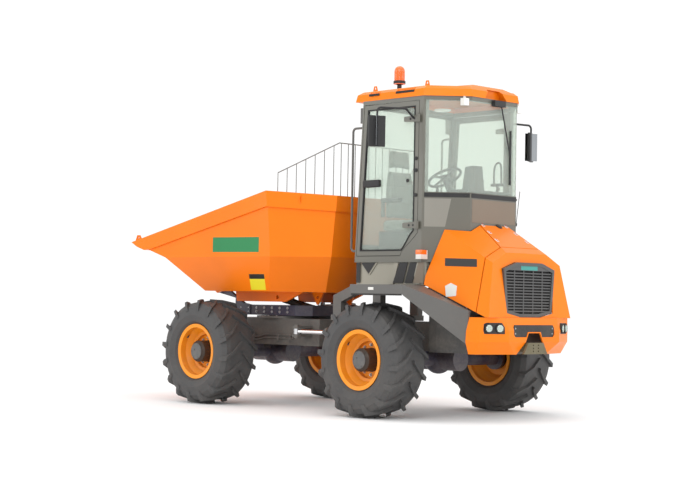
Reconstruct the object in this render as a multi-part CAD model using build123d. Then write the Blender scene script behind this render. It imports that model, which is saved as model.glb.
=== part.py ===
from build123d import *
import os
from math import cos, radians, sin

# Site dumper with a swivel skip, an articulated chassis and a cab over the engine end.
# Millimetres. +X runs forward to the skip, +Y to the left, +Z up from the ground.
# Places along X are counted from the middle of the wheelbase, and the finished
# machine is moved so that its box is centred on the origin.

# Wheels and axles
wheelbase = 2550
track = 2000
tyre_radius = 580
tyre_width = 490
rim_radius = 292
rim_width = 400
rim_wall = 14
rim_lip = 14
hub_radius = 118
hub_reach = 40
lug_height = 34
lug_count = 16
axle_radius = 78
diff_radius = 150

# Chassis
frame_top = 960
frame_bottom = 664
frame_plate = 24
front_frame_half = 420
front_frame_nose = 520
front_frame_tail = 1175
rear_frame_half = 340
rear_frame_tail = 1090
rear_frame_ahead = 1025
pivot_radius = 52
pivot_clearance = 8
tongue_half = 75
yoke_plate = 40

# Steering cylinders
steer_eye_behind = 1005
steer_half = 600
steer_z = 825
steer_base_ahead = 375
steer_base_half = 455
steer_barrel_radius = 44
steer_rod_radius = 24
steer_eye_height = 60
steer_fork_gap = 7
steer_fork_plate = 20

# Turntable and tip linkage
swivel_behind_axle = 375
ring_radius = 470
ring_height = 26
swivel_gap = 6
swivel_height = 115
swivel_half_length = 580
swivel_half_width = 440
hinge_ahead = 850
hinge_z = 1285
hinge_pin_radius = 28
hinge_half = 560
tip_base_behind = 300
tip_base_z = 1065
tip_eye_ahead = 350
tip_eye_z = 1195
tip_barrel_radius = 40
tip_rod_radius = 24
swivel_slot_half = 76
arm_clearance = 22

# Skip, its places along X counted from the swivel's centre
skip_half = 1060
skip_wall = 12
skip_lip_ahead = 1745
skip_lip_z = 1815
skip_kink_behind = 613
skip_kink_z = 2341
skip_rear_behind = 1318
skip_rear_half = 700
skip_rear_z = 2284
skip_bend_z = 1630
skip_bend_front_ahead = 1120
skip_bend_kink_behind = 676
skip_bend_rear_half = 742
skip_floor_z = 1256
skip_floor_half = 840
skip_floor_front_ahead = 660
skip_floor_kink_behind = 430
skip_floor_rear_half = 541
flange_depth = 172
flange_reach = 22
guard_height = 565
guard_drop = 357
guard_bar = 12
guard_post = 9
guard_pitch = 105.6
guard_start = 64

# Cab
cab_half = 715
cab_floor_z = 1572
cab_roof_z = 3253
cab_front_low_ahead = 559
cab_front_high_ahead = 466
cab_pillar_behind = 385
cab_rear_behind = 725
cab_rear_half = 360
cab_wall = 44
cab_sill_z = 2240
glass_thick = 8
door_gap = 6
door_thick = 34
door_frame = 46
cab_base_z = 1345
seat_behind = 384
driver_y = 250
screen_y = 130
screen_half = 70
lever_reach = 110
rail_reach = 66
mirror_half = 1100
mirror_z = 2876
mirror_turn = -28
left_mirror_ahead = 274
right_mirror_ahead = 70

# Hood and tail, their places along X counted from the rear axle
hood_wall = 14
hood_rear_top_behind = 1165
hood_rear_top_z = 1600
hood_rear_low_behind = 1225
hood_rear_low_z = 1030
hood_corner_behind = 1069
hood_corner_half = 535
hood_corner_z = 1620
hood_low_half = 660
hood_low_z = 1078
hood_nose_behind = 440
hood_nose_z = 1340
shut_gap = 12
strip_front_behind = 655
strip_front_z = 2015
strip_front_half = 198
strip_rear_behind = 1165
strip_rear_z = 1668
strip_rear_half = 320
bumper_top_z = 1030
bumper_wall = 16
tail_behind = 1277
fender_half = 1200
fender_top_z = 1337
fender_skirt = 92
fender_front_ahead = 133
fender_kink_behind = 584
fender_rear_behind = 1015
fender_wall = 16

front_axle_x = wheelbase / 2
rear_axle_x = -wheelbase / 2
wheel_z = tyre_radius
swivel_x = front_axle_x - swivel_behind_axle
hinge_x = swivel_x + hinge_ahead
steer_rod_x = front_axle_x - steer_eye_behind
steer_base_x = rear_axle_x + steer_base_ahead
skip_lip_x = swivel_x + skip_lip_ahead
skip_kink_x = swivel_x - skip_kink_behind
skip_rear_x = swivel_x - skip_rear_behind
cab_front_low_x = rear_axle_x + cab_front_low_ahead
cab_front_high_x = rear_axle_x + cab_front_high_ahead
cab_pillar_x = rear_axle_x - cab_pillar_behind
cab_rear_x = rear_axle_x - cab_rear_behind
hood_corner_x = rear_axle_x - hood_corner_behind
strip_front_x = rear_axle_x - strip_front_behind
strip_rear_x = rear_axle_x - strip_rear_behind
tail_x = rear_axle_x - tail_behind
fender_front_x = rear_axle_x + fender_front_ahead
fender_kink_x = rear_axle_x - fender_kink_behind
fender_rear_x = rear_axle_x - fender_rear_behind
shut_x = hood_corner_x
seat_x = cab_front_low_x - seat_behind
origin_x = (skip_lip_x + tail_x - 20) / 2


def behind(distance):
    """A place along X at a distance behind the rear axle."""
    return rear_axle_x - distance


def box(x0, x1, y0, y1, z0, z1):
    """A block between two corners."""
    return Pos((x0 + x1) / 2, (y0 + y1) / 2, (z0 + z1) / 2) * Box(x1 - x0, y1 - y0, z1 - z0)


def slab_y(points, y0, y1):
    """An outline drawn in X and Z, thickened from y0 to y1."""
    face = make_face(Polyline([(x, y0, z) for x, z in points], close=True))
    return extrude(face, amount=y1 - y0, dir=(0, 1, 0))


def slab_z(points, z0, z1):
    """An outline drawn in X and Y, thickened from z0 to z1."""
    face = make_face(Polyline([(x, y, z0) for x, y in points], close=True))
    return extrude(face, amount=z1 - z0, dir=(0, 0, 1))


def slab_x(points, x0, x1):
    """An outline drawn in Y and Z, thickened from x0 to x1."""
    face = make_face(Polyline([(x0, y, z) for y, z in points], close=True))
    return extrude(face, amount=x1 - x0, dir=(1, 0, 0))


def rod(start, end, radius):
    """A round bar from one point to another."""
    line = Vector(*end) - Vector(*start)
    return extrude(Plane(start, z_dir=line) * Circle(radius), amount=line.length)


def mirrored(part):
    """The same piece on the right hand side."""
    return mirror(part, Plane.XZ)


def both(part):
    """The piece and its right hand twin."""
    return part + mirrored(part)


def plane_through(p, q, r, inset=0, within=None):
    """The plane through three points, its normal away from a point within, moved inwards."""
    normal = (Vector(*q) - Vector(*p)).cross(Vector(*r) - Vector(*p)).normalized()
    outward = Vector(*p) - Vector(*(within or (behind(625), 0, 1300)))
    if normal.dot(outward) < 0:
        normal = normal * -1
    return Plane(Vector(*p) - normal * inset, z_dir=normal)


def trimmed(part, planes):
    """What is left of a block inside a set of planes."""
    for plane in planes:
        part = split(part, bisect_by=plane, keep=Keep.BOTTOM)
    return part


def bent_tube(points, radii, radius):
    """A round tube along straight runs joined by arcs."""
    path = FilletPolyline(*points, radius=radii)
    return sweep(Plane(path @ 0, z_dir=path % 0) * Circle(radius), path=path)


# Wheels

def tyre():
    """A wide tyre lying on the Y axis."""
    half = tyre_width / 2
    tread = tyre_radius - lug_height
    bead = rim_radius - rim_lip + 2
    outline = [
        (bead, -rim_width / 2 + 26),
        (rim_radius + 16, -rim_width / 2 + 14),
        (rim_radius + 42, -half + 26),
        (bead + 120, -half),
        (tread - 60, -half + 14),
        (tread - 10, -half + 50),
        (tread, -half + 100),
        (tread, half - 100),
        (tread - 10, half - 50),
        (tread - 60, half - 14),
        (bead + 120, half),
        (rim_radius + 42, half - 26),
        (rim_radius + 16, rim_width / 2 - 14),
        (bead, rim_width / 2 - 26),
    ]
    face = make_face(Polyline([(r, y, 0) for r, y in outline], close=True))
    body = revolve(face, axis=Axis.Y)
    lugs = [lug(number, side) for number in range(lug_count) for side in (-1, 1)]
    return body + lugs


def lug(number, side):
    """One bar of the tread, from the middle out over the shoulder."""
    step = 360 / lug_count
    start = number * step + (step / 2 if side > 0 else 0)
    stations = (
        (start, 8, tyre_radius, 30),
        (start + 0.45 * step, 110, tyre_radius - 1, 34),
        (start + 0.80 * step, tyre_width / 2 - 22, tyre_radius - 14, 42),
        (start + 0.86 * step, tyre_width / 2 - 2, tyre_radius - 70, 36),
    )
    sections = []
    for angle, out, top, width in stations:
        turn = radians(angle)
        outward = Vector(cos(turn), 0, sin(turn))
        along = Vector(-sin(turn), 0, cos(turn))
        centre = Vector(0, side * out, 0)
        low = top - lug_height - 24
        corners = [
            centre + outward * low - along * (width * 0.62),
            centre + outward * low + along * (width * 0.62),
            centre + outward * top + along * (width * 0.5),
            centre + outward * top - along * (width * 0.5),
        ]
        sections.append(make_face(Polyline(corners, close=True)))
    return loft(sections, ruled=True)


def rim():
    """A deep dish wheel with its hub, lying on the Y axis, dish towards +Y."""
    half = rim_width / 2
    lip = rim_radius + 12
    seat = rim_radius - rim_lip
    well = seat - 46
    outline = [
        (well - rim_wall, -half + 120),
        (seat - rim_wall, -half + 60),
        (seat - rim_wall, -half + 6),
        (lip, -half),
        (lip, -half + 12),
        (seat, -half + 20),
        (seat, -half + 70),
        (well, -half + 130),
        (well, half - 130),
        (seat, half - 70),
        (seat, half - 20),
        (lip, half - 12),
        (lip, half),
        (seat - rim_wall, half - 6),
        (seat - rim_wall, half - 80),
        (well - rim_wall, half - 140),
        (well - rim_wall - 30, half - 150),
        (well - rim_wall - 34, half - 190),
        (hub_radius, half - 190),
        (hub_radius, half - 190 + hub_reach + 110),
        (hub_radius - 22, half - 190 + hub_reach + 132),
        (0, half - 190 + hub_reach + 132),
        (0, half - 225),
        (well - rim_wall - 30, half - 225),
    ]
    face = make_face(Polyline([(r, y, 0) for r, y in outline], close=True))
    return revolve(face, axis=Axis.Y)


def wheel_pieces():
    """The four wheels at their places, the left hand ones with the dish to the left."""
    pieces = {}
    plain_tyre = tyre()
    plain_rim = rim()
    for end, x in (("front", front_axle_x), ("rear", rear_axle_x)):
        place = Pos(x, track / 2, wheel_z)
        pieces[end + "_left_tyre"] = place * plain_tyre
        pieces[end + "_left_rim"] = place * plain_rim
        pieces[end + "_right_tyre"] = mirrored(place * plain_tyre)
        pieces[end + "_right_rim"] = mirrored(place * plain_rim)
    return pieces


def axle(x):
    """A beam axle with its differential and the two arm ends behind the wheels."""
    arm_end = track / 2 - 40
    beam = rod((x, -arm_end, wheel_z), (x, arm_end, wheel_z), axle_radius)
    nose = Pos(x, 0, wheel_z) * Rot(0, 90, 0) * Cylinder(diff_radius - 30, 620)
    bowl = Pos(x, 0, wheel_z - 10) * Sphere(diff_radius)
    flange = rod((x, arm_end - 60, wheel_z), (x, arm_end - 20, wheel_z), 130)
    pads = box(x - 70, x + 70, 250, 380, wheel_z, frame_bottom)
    shape = beam + nose + bowl + both(flange) + both(pads)
    return shape - box(x - 900, x + 900, -600, 600, frame_bottom, frame_bottom + 300)


# Chassis

def front_frame():
    """The front box frame with its tongue, its lower slew ring and the cylinder ears."""
    nose = front_axle_x + front_frame_nose
    tail = front_axle_x - front_frame_tail
    side = box(tail, nose, front_frame_half - frame_plate, front_frame_half, frame_bottom, frame_top)
    top = box(tail, nose, -front_frame_half, front_frame_half, frame_top - frame_plate, frame_top)
    end = box(nose - frame_plate, nose, -front_frame_half, front_frame_half, frame_bottom, frame_top)
    back = box(tail, tail + frame_plate, -front_frame_half, front_frame_half, frame_bottom, frame_top)
    mid_z = (frame_top + frame_bottom) / 2
    tongue = slab_z([(tail + 1, -150), (tail + 1, 150), (0, 85), (0, -85)], mid_z - 75, mid_z + 75)
    tongue += rod((0, 0, mid_z - 75), (0, 0, mid_z + 75), 85)
    tongue -= rod((0, 0, mid_z - 80), (0, 0, mid_z + 80), pivot_radius + 0.05)
    ring = Pos(swivel_x, 0, frame_top + ring_height / 2) * (
        Cylinder(ring_radius, ring_height) - Cylinder(ring_radius - 90, ring_height)
    )
    shape = both(side) + top + end + back + tongue + ring + both(steer_ears())
    return shape


def fork_levels():
    """The lower faces of the two plates on either side of a steering eye."""
    gap = steer_eye_height / 2 + steer_fork_gap
    return (steer_z - gap - steer_fork_plate, steer_z + gap)


def steer_ears():
    """Two plates and their web that hold the left rod's eye."""
    plates = []
    for low in fork_levels():
        plate = slab_z(
            [
                (steer_rod_x + 90, front_frame_half - 1),
                (steer_rod_x + 40, steer_half + 30),
                (steer_rod_x - 40, steer_half + 30),
                (steer_rod_x - 60, front_frame_half - 1),
            ],
            low,
            low + steer_fork_plate,
        )
        plates.append(plate)
    heads = rod((steer_rod_x, steer_half, steer_z + 57), (steer_rod_x, steer_half, steer_z + 75), 30)
    heads += rod((steer_rod_x, steer_half, steer_z - 57), (steer_rod_x, steer_half, steer_z - 75), 30)
    return plates[0] + plates[1] + heads


def rear_frame():
    """The rear box frame with its yoke, cab posts and the cylinders' brackets."""
    tail = rear_axle_x - rear_frame_tail
    nose = rear_axle_x + rear_frame_ahead
    side = box(tail, nose, rear_frame_half - frame_plate, rear_frame_half, frame_bottom, frame_top)
    floor = box(tail, nose, -rear_frame_half, rear_frame_half, frame_bottom, frame_bottom + frame_plate)
    back = box(tail, tail + frame_plate, -rear_frame_half, rear_frame_half, frame_bottom, frame_top)
    front = box(nose - frame_plate, nose, -rear_frame_half, rear_frame_half, frame_bottom, frame_top + 40)
    mid_z = (frame_top + frame_bottom) / 2
    gap = tongue_half + pivot_clearance
    plates = []
    for low in (mid_z - gap - yoke_plate, mid_z + gap):
        plate = slab_z([(nose - 1, -200), (nose - 1, 200), (0, 95), (0, -95)], low, low + yoke_plate)
        plates.append(plate + rod((0, 0, low), (0, 0, low + yoke_plate), 95))
    pin_reach = gap + yoke_plate + 10
    pin = rod((0, 0, mid_z - pin_reach), (0, 0, mid_z + pin_reach), pivot_radius)
    shape = both(side) + floor + back + front + plates[0] + plates[1] + pin
    return shape + cab_posts() + both(steer_base_plates())


def cab_posts():
    """The cross beam with its bent arms and the two stands that carry the cab."""
    inner = cab_half - 155
    outer = cab_half - 75
    post_back = cab_front_low_x + 266
    post_front = cab_front_low_x + 386
    shelf = cab_front_low_x - 44
    beam = box(post_back - 20, post_front + 30, -outer, outer, frame_top, frame_top + 60)
    post = box(post_back, post_front, inner, outer, frame_top + 59, 1225)
    arm_outline = [
        (post_front, 1225),
        (post_back, 1160),
        (shelf, cab_base_z - 60),
        (shelf, cab_base_z),
        (shelf + 120, cab_base_z),
    ]
    arm = slab_y(arm_outline, inner, outer)
    stand_x = cab_front_low_x - 294
    leg = box(stand_x, stand_x + 110, rear_frame_half, outer - 20, frame_top - 60, frame_top)
    stand = box(stand_x, stand_x + 110, inner - 20, outer - 20, frame_top - 1, cab_base_z)
    return beam + both(post + arm) + both(leg + stand)


def steer_base_plates():
    """Two plates on the rear frame that hold the left barrel's base."""
    plates = []
    for low in fork_levels():
        plate = slab_z(
            [
                (steer_base_x - 120, rear_frame_half - 1),
                (steer_base_x - 40, steer_base_half + 30),
                (steer_base_x + 40, steer_base_half + 30),
                (steer_base_x + 60, rear_frame_half - 1),
            ],
            low,
            low + steer_fork_plate,
        )
        plates.append(plate)
    return plates[0] + plates[1] + rod(
        (steer_base_x, steer_base_half, steer_z - 60), (steer_base_x, steer_base_half, steer_z + 60), 22
    )


def steer_cylinder():
    """The left steering cylinder: its barrel and its rod."""
    base = Vector(steer_base_x, steer_base_half, steer_z)
    eye = Vector(steer_rod_x, steer_half, steer_z)
    line = (eye - base).normalized()
    gland = base + line * 760
    barrel = rod(base + line * 100, gland, steer_barrel_radius)
    barrel += rod(base + line * 30, base + line * 101, 30)
    barrel += rod(base - Vector(0, 0, 30), base + Vector(0, 0, 30), 50)
    barrel += rod(gland - line * 30, gland, steer_barrel_radius + 8)
    barrel -= rod(base - Vector(0, 0, 31), base + Vector(0, 0, 31), 22.05)
    barrel -= rod(base + line * 110, gland + line, steer_rod_radius + 0.1)
    rod_part = rod(base + line * 410, eye - line * 30, steer_rod_radius)
    rod_part += rod(eye - Vector(0, 0, 30), eye + Vector(0, 0, 30), 40)
    return barrel, rod_part


# Turntable and skip

def swivel_frame():
    """The turning block, its front hinge arms and the base of the tip cylinder."""
    low = frame_top + ring_height + swivel_gap
    high = low + swivel_height
    x0 = swivel_x - swivel_half_length
    x1 = swivel_x + swivel_half_length
    w = swivel_half_width
    plan = [(x0, -w + 120), (x0, w - 120), (x0 + 160, w), (x1, w), (x1, -w), (x0 + 160, -w)]
    block = slab_z(plan, low, high)
    base_x = swivel_x - tip_base_behind
    pocket_half = swivel_slot_half
    block -= box(base_x - 70, swivel_x + tip_eye_ahead + 70, -pocket_half, pocket_half, low + 20, high + 1)
    tyre_top = 2 * wheel_z
    arm_outline = [
        (x1 - 260, low + 1),
        (x1 - 1, low + 1),
        (x1 - 1, tyre_top + arm_clearance),
        (hinge_x + 60, hinge_z - 40),
        (hinge_x + 40, hinge_z + 40),
        (hinge_x - 40, hinge_z + 45),
        (x1 - 140, high + 20),
        (x1 - 260, high),
    ]
    arm = slab_y(arm_outline, hinge_half - 150, hinge_half - 110)
    bridge = box(x1 - 200, x1 - 1, w - 30, hinge_half - 110, low, high)
    pin = rod((hinge_x, hinge_half - 150, hinge_z), (hinge_x, hinge_half - 30, hinge_z), hinge_pin_radius)
    cheek_top = tip_base_z + 50
    cheek_foot = [(base_x - 60, low), (base_x + 60, low)]
    cheek_head = [(base_x + 36, cheek_top), (base_x - 36, cheek_top)]
    cheek = slab_y(cheek_foot + cheek_head, pocket_half - 20, pocket_half + 1)
    return block + both(arm + bridge + pin) + both(cheek)


def skip_corners():
    """The skip's outside corners on the left, level by level."""
    rim = [
        (skip_lip_x, skip_half, skip_lip_z),
        (skip_kink_x, skip_half, skip_kink_z),
        (skip_rear_x, skip_rear_half, skip_rear_z),
    ]
    bend = [
        (swivel_x + skip_bend_front_ahead, skip_half, skip_bend_z),
        (swivel_x - skip_bend_kink_behind, skip_half, skip_bend_z),
    ]
    bend_x = meet_x(rim[1], rim[2], bend[1], skip_bend_rear_half, skip_bend_z)
    bend.append((bend_x, skip_bend_rear_half, skip_bend_z))
    floor = [
        (swivel_x + skip_floor_front_ahead, skip_floor_half, skip_floor_z),
        (swivel_x - skip_floor_kink_behind, skip_floor_half, skip_floor_z),
    ]
    floor_x = meet_x(bend[1], bend[2], floor[1], skip_floor_rear_half, skip_floor_z)
    floor.append((floor_x, skip_floor_rear_half, skip_floor_z))
    return rim, bend, floor


def meet_x(p, q, r, y, z):
    """Where the plane through three points has the given y and z."""
    normal = (Vector(*q) - Vector(*p)).cross(Vector(*r) - Vector(*p))
    return p[0] - (normal.Y * (y - p[1]) + normal.Z * (z - p[2])) / normal.X


def solid_of(faces):
    """A closed solid from flat faces given by their corners."""
    return Solid(Shell([Face(Wire.make_polygon(corners, close=True)) for corners in faces]))


def opposite(point):
    """The same corner on the right hand side."""
    return (point[0], -point[1], point[2])


def skip_form():
    """The skip's outside as one closed block."""
    rim, bend, floor = skip_corners()
    faces = []
    for upper, lower in ((rim, bend), (bend, floor)):
        for a, b in ((0, 1), (1, 2)):
            side = [upper[a], upper[b], lower[b], lower[a]]
            faces.append(side)
            faces.append([opposite(p) for p in side])
        faces.append([upper[2], opposite(upper[2]), opposite(lower[2]), lower[2]])
        faces.append([upper[0], opposite(upper[0]), opposite(lower[0]), lower[0]])
    right_floor = [opposite(p) for p in reversed(floor)]
    faces.append(floor + right_floor)
    faces.append([rim[0], rim[1], opposite(rim[1]), opposite(rim[0])])
    faces.append([rim[1], rim[2], opposite(rim[2]), opposite(rim[1])])
    return solid_of(faces)


def skip_band():
    """The folded band round the outside of the skip's rim."""
    form = skip_form()
    wide = offset(form, amount=flange_reach, kind=Kind.INTERSECTION)
    zone = slab_y(
        [
            (skip_lip_x, skip_lip_z),
            (skip_kink_x, skip_kink_z),
            (skip_rear_x - 40, skip_rear_z - 3),
            (skip_rear_x - 40, skip_rear_z - flange_depth),
            (skip_kink_x, skip_kink_z - flange_depth),
            (skip_lip_x - 380, skip_lip_z - 80),
            (skip_lip_x - 195, skip_lip_z - 100),
        ],
        -skip_half - 60,
        skip_half + 60,
    )
    return (wide & zone) - form


def skip():
    """The open skip with its rim band and the frame under its floor."""
    form = skip_form()
    inner = offset(form, amount=-skip_wall, kind=Kind.INTERSECTION)
    mouth = (inner.faces().sort_by(Axis.Z)[-1], inner.faces().sort_by(Axis.Z)[-2])
    tub = form - inner
    for face in mouth:
        tub -= extrude(face, amount=60, dir=(0, 0, 1))
    return tub + skip_band() + both(skip_hinge()) + both(skip_rail()) + both(skip_ears()) + both(lip_eye())


def skip_hinge():
    """The left plate that hangs from the hinge pin and carries the skip."""
    outline = [
        (hinge_x - 330, skip_floor_z + 1),
        (hinge_x - 190, skip_floor_z + 1),
        (hinge_x + 60, hinge_z + 120),
        (hinge_x + 50, hinge_z - 20),
        (hinge_x, hinge_z - 50),
        (hinge_x - 60, hinge_z - 30),
    ]
    plate = slab_y(outline, hinge_half - 90, hinge_half - 60)
    return plate - rod((hinge_x, 0, hinge_z), (hinge_x, 900, hinge_z), hinge_pin_radius + 0.1)


def skip_rail():
    """The left side plate of the frame under the floor, with its round hole, and the rear stop."""
    top = skip_floor_z + 1
    rail_foot = skip_floor_z - 111
    rear = swivel_x - skip_floor_kink_behind - 180
    outline = [(hinge_x - 330, top), (rear, top), (rear + 290, rail_foot), (hinge_x - 355, rail_foot)]
    plate = slab_y(outline, 470, 500)
    plate -= rod((rear + 420, 460, rail_foot + 50), (rear + 420, 510, rail_foot + 50), 22)
    stop_x = skip_rear_x + 728
    foot = top - 138
    stop_outline = [(stop_x - 90, top), (stop_x + 90, top), (stop_x + 10, foot), (stop_x - 10, foot)]
    stop = slab_y(stop_outline, 240, 260)
    stop -= rod((stop_x, 230, top - 55), (stop_x, 270, top - 55), 18)
    return plate + stop


def skip_ears():
    """The left ear under the floor that holds the tip cylinder's eye."""
    ear_x = swivel_x + tip_eye_ahead
    foot = tip_eye_z - 40
    top = skip_floor_z + 1
    return slab_y([(ear_x - 120, top), (ear_x + 120, top), (ear_x + 40, foot), (ear_x - 40, foot)], 50, 70)


def lip_eye():
    """The left lifting eye on the skip's front lip."""
    rise = (skip_kink_z - skip_lip_z) / (skip_lip_x - skip_kink_x)
    eye_x = skip_lip_x - 95
    eye_z = skip_lip_z + 95 * rise
    outline = [(eye_x - 60, eye_z + 60 * rise - 6), (eye_x + 60, eye_z - 60 * rise - 6),
               (eye_x + 22, eye_z + 62), (eye_x - 22, eye_z + 62)]
    plate = slab_y(outline, skip_half - 22, skip_half - 6)
    return plate - rod((eye_x, skip_half - 30, eye_z + 32), (eye_x, skip_half, eye_z + 32), 15)


def skip_guard():
    """The bar screen that stands on the rim in front of the cab."""
    rim, _, _ = skip_corners()
    kink = Vector(*rim[1])
    corner = Vector(*rim[2])
    inset = Vector(0, -30, 0)
    top_z = skip_rear_z + guard_height
    run = kink - corner
    count = int((run.length - guard_start) // guard_pitch) + 1
    left = Part()
    tops = []
    for index in range(count):
        along = guard_start + index * guard_pitch
        foot = corner + inset + run.normalized() * along
        top = Vector(foot.X, foot.Y, top_z - along / run.length * guard_drop)
        left += rod(foot, top, guard_post / 2)
        tops.append(top)
    back_x = skip_rear_x + guard_bar
    turn = Vector(back_x, corner.Y - 40, top_z)
    left += rod(tops[0], tops[-1], guard_bar / 2)
    left += rod(tops[0], turn, guard_bar / 2)
    rear_count = int(corner.Y // guard_pitch)
    screen = both(left) + rod(turn, (turn.X, -turn.Y, top_z), guard_bar / 2)
    for index in range(-rear_count, rear_count + 1):
        y = index * guard_pitch
        screen += rod((back_x, y, skip_rear_z), (back_x, y, top_z), guard_post / 2)
    return screen - skip_form() - skip_band()


def tip_cylinder():
    """The tip cylinder in the middle: its barrel and its rod."""
    base = Vector(swivel_x - tip_base_behind, 0, tip_base_z)
    eye = Vector(swivel_x + tip_eye_ahead, 0, tip_eye_z)
    line = (eye - base).normalized()
    length = (eye - base).length
    gland = base + line * (length - 110)
    barrel = rod(base + line * 20, gland, tip_barrel_radius)
    barrel += rod(base - Vector(0, 50, 0), base + Vector(0, 50, 0), tip_barrel_radius)
    barrel -= rod(base + line * 110, gland + line, tip_rod_radius + 0.1)
    rod_part = rod(base + line * 120, eye - line * 20, tip_rod_radius)
    rod_part += rod(eye - Vector(0, 42, 0), eye + Vector(0, 42, 0), 34)
    return barrel, rod_part


# Hood, tail and fenders

def hood_form(inset=0):
    """The hood and cowl as one flat sided block, with every wall moved in by the inset."""
    block = box(behind(1425), behind(225), -900, 900, 1000, 2150)
    strip_front = (strip_front_x, 0, strip_front_z)
    strip_rear = (strip_rear_x, 0, strip_rear_z)
    strip = plane_through(strip_front, strip_rear, (strip_rear_x, 100, strip_rear_z), inset)
    rear_top = (behind(hood_rear_top_behind), 0, hood_rear_top_z)
    rear_low = (behind(hood_rear_low_behind), 0, hood_rear_low_z)
    rear = plane_through(rear_top, rear_low, (rear_low[0], 100, rear_low[2]), inset)
    planes = [strip, rear]
    low_corner_x = hood_corner_x - 8
    for side in (1, -1):
        corner = (hood_corner_x, side * hood_corner_half, hood_corner_z)
        front = (strip_front_x, side * strip_front_half, strip_front_z)
        facet = plane_through(front, (strip_rear_x, side * strip_rear_half, strip_rear_z), corner, inset)
        low_corner = (low_corner_x, side * hood_low_half, hood_low_z + 12)
        nose = (behind(hood_nose_behind), side * (cab_half - 5), hood_nose_z)
        flank = plane_through(corner, low_corner, nose, inset)
        planes += [facet, flank]
    front_low = (behind(hood_nose_behind - 15), 0, hood_nose_z + 5)
    low = plane_through(front_low, (low_corner_x, 0, hood_low_z), (low_corner_x, 100, hood_low_z))
    return trimmed(block, planes + [low])


def cab_block(grow=0):
    """The cab's outside in plan, used to trim what butts against it."""
    chamfer = [
        (cab_front_low_x, cab_half + grow),
        (cab_pillar_x - grow * 0.4, cab_half + grow),
        (cab_rear_x - grow, cab_rear_half + grow * 0.4),
    ]
    return chamfer + [(x, -y) for x, y in reversed(chamfer)]


def hood_pieces():
    """The centre strip, the two lifting wings and the cowl round the grille."""
    form = hood_form() - hood_form(hood_wall)
    shell = form - slab_z(cab_block(shut_gap), 900, 2400)
    front_x = behind(425)
    rear_x = strip_rear_x - 200
    edge = [(front_x, strip_front_half - 56), (rear_x, strip_rear_half + 48)]
    strip_zone = slab_z(edge + [(x, -y) for x, y in reversed(edge)], 900, 2400)
    front_zone = box(shut_x, behind(125), -900, 900, 900, 2400)
    rear_zone = box(behind(1525), shut_x - shut_gap, -900, 900, bumper_top_z + 1, 2400)
    wing_edge = [(x, y + shut_gap) for x, y in edge]
    wing_zone = slab_z(wing_edge + [(rear_x, 900), (front_x, 900)], 900, 2400)
    strip = shell & strip_zone & front_zone
    wing = shell & wing_zone & front_zone
    window = slab_x(grille_outline(0), behind(1325), behind(1025))
    return strip, wing, (form & rear_zone) - window


def grille_outline(inset):
    """The grille's eight cornered opening in Y and Z."""
    left = [
        (200 - inset * 0.5, 1580 - inset),
        (402 - inset, 1515 - inset * 0.8),
        (364 - inset, 1075 + inset * 0.8),
        (160 - inset * 0.5, 1030 + inset + 5),
    ]
    return left + [(-y, z) for y, z in reversed(left)]


def grille():
    """The dark grille: a frame, a sloping header and thin level slats."""
    face = behind(1205)
    frame = slab_x(grille_outline(1), face, face + 25)
    frame -= slab_x(grille_outline(34), face - 100, face + 100)
    header = slab_x([(330, 1500), (-330, 1500), (-180, 1560), (180, 1560)], face + 5, face + 25)
    slats = []
    for index in range(14):
        z = 1090 + index * 29
        half = 330 + (z - 1090) * 0.075
        slats.append(box(face + 8, face + 20, -half, half, z, z + 12))
    uprights = [box(face + 14, face + 24, y - 8, y + 8, 1060, 1540) for y in (-220, -75, 75, 220)]
    return frame + header + slats + uprights


def bumper_level(level, inset=0):
    """The bumper's outline in plan at one of its four heights."""
    levels = (
        (668, tail_x + 52, 250, tail_x + 189, 670, 700),
        (790, tail_x, 400, tail_x + 132, 705, 745),
        (900, tail_x, 400, tail_x + 121, 693, 735),
        (bumper_top_z, tail_x + 40, 407, tail_x + 84, 640, 690),
    )
    height, back_x, back_half, corner_x, corner_half, front_half = levels[level]
    left = [
        (back_x + inset, back_half),
        (corner_x + inset, corner_half - inset),
        (fender_rear_x, front_half - inset),
    ]
    points = left + [(x, -y) for x, y in reversed(left)]
    return make_face(Polyline([(x, y, height) for x, y in points], close=True))


def bumper():
    """The belly shaped tail piece, open inside, with a notch for the hitch plate."""
    form = loft([bumper_level(level) for level in range(4)], ruled=True)
    hollow = loft([bumper_level(level, bumper_wall) for level in range(4)], ruled=True)
    hollow = hollow & box(tail_x - 50, tail_x + 450, -800, 800, 600, bumper_top_z - 18)
    notch_half = [(-260, 600), (-130, 800), (-90, 880)]
    notch = slab_x(notch_half + [(-y, z) for y, z in reversed(notch_half)], tail_x - 50, tail_x + 250)
    panel = slab_x(panel_outline(0), tail_x - 50, tail_x + 250)
    return form - hollow - notch - panel - both(lamp_housing(1)) - tail_lamps()


def panel_outline(inset):
    """The dark panel's outline in Y and Z, notched below in the middle."""
    right = [(0, 891), (100, 891), (120, 840), (300, 840), (320, 865), (320, 935), (300, 960), (0, 960)]
    near = []
    for y, z in right:
        near.append((y - inset if y > 120 else y + inset if y else 0, z + inset if z < 900 else z - inset))
    return near[1:-1] + [(-y, z) for y, z in reversed(near[1:-1])]


def tail_panel():
    """The dark panel with a notch in the middle of the bumper."""
    return slab_x(panel_outline(1), tail_x + 7, tail_x + 37)


def hitch_plate():
    """The hitch plate at the tail, with its six bolt holes."""
    face = tail_x - 20
    plate = slab_x([(-185, 672), (185, 672), (120, 785), (-120, 785)], face, face + 24)
    for y in (-40, 40):
        for z in (700, 730, 760):
            plate -= rod((face - 30, y, z), (face + 70, y, z), 8)
    tongue = box(face + 23, rear_axle_x - rear_frame_tail, -110, 110, 690, 770)
    return plate + tongue


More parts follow.
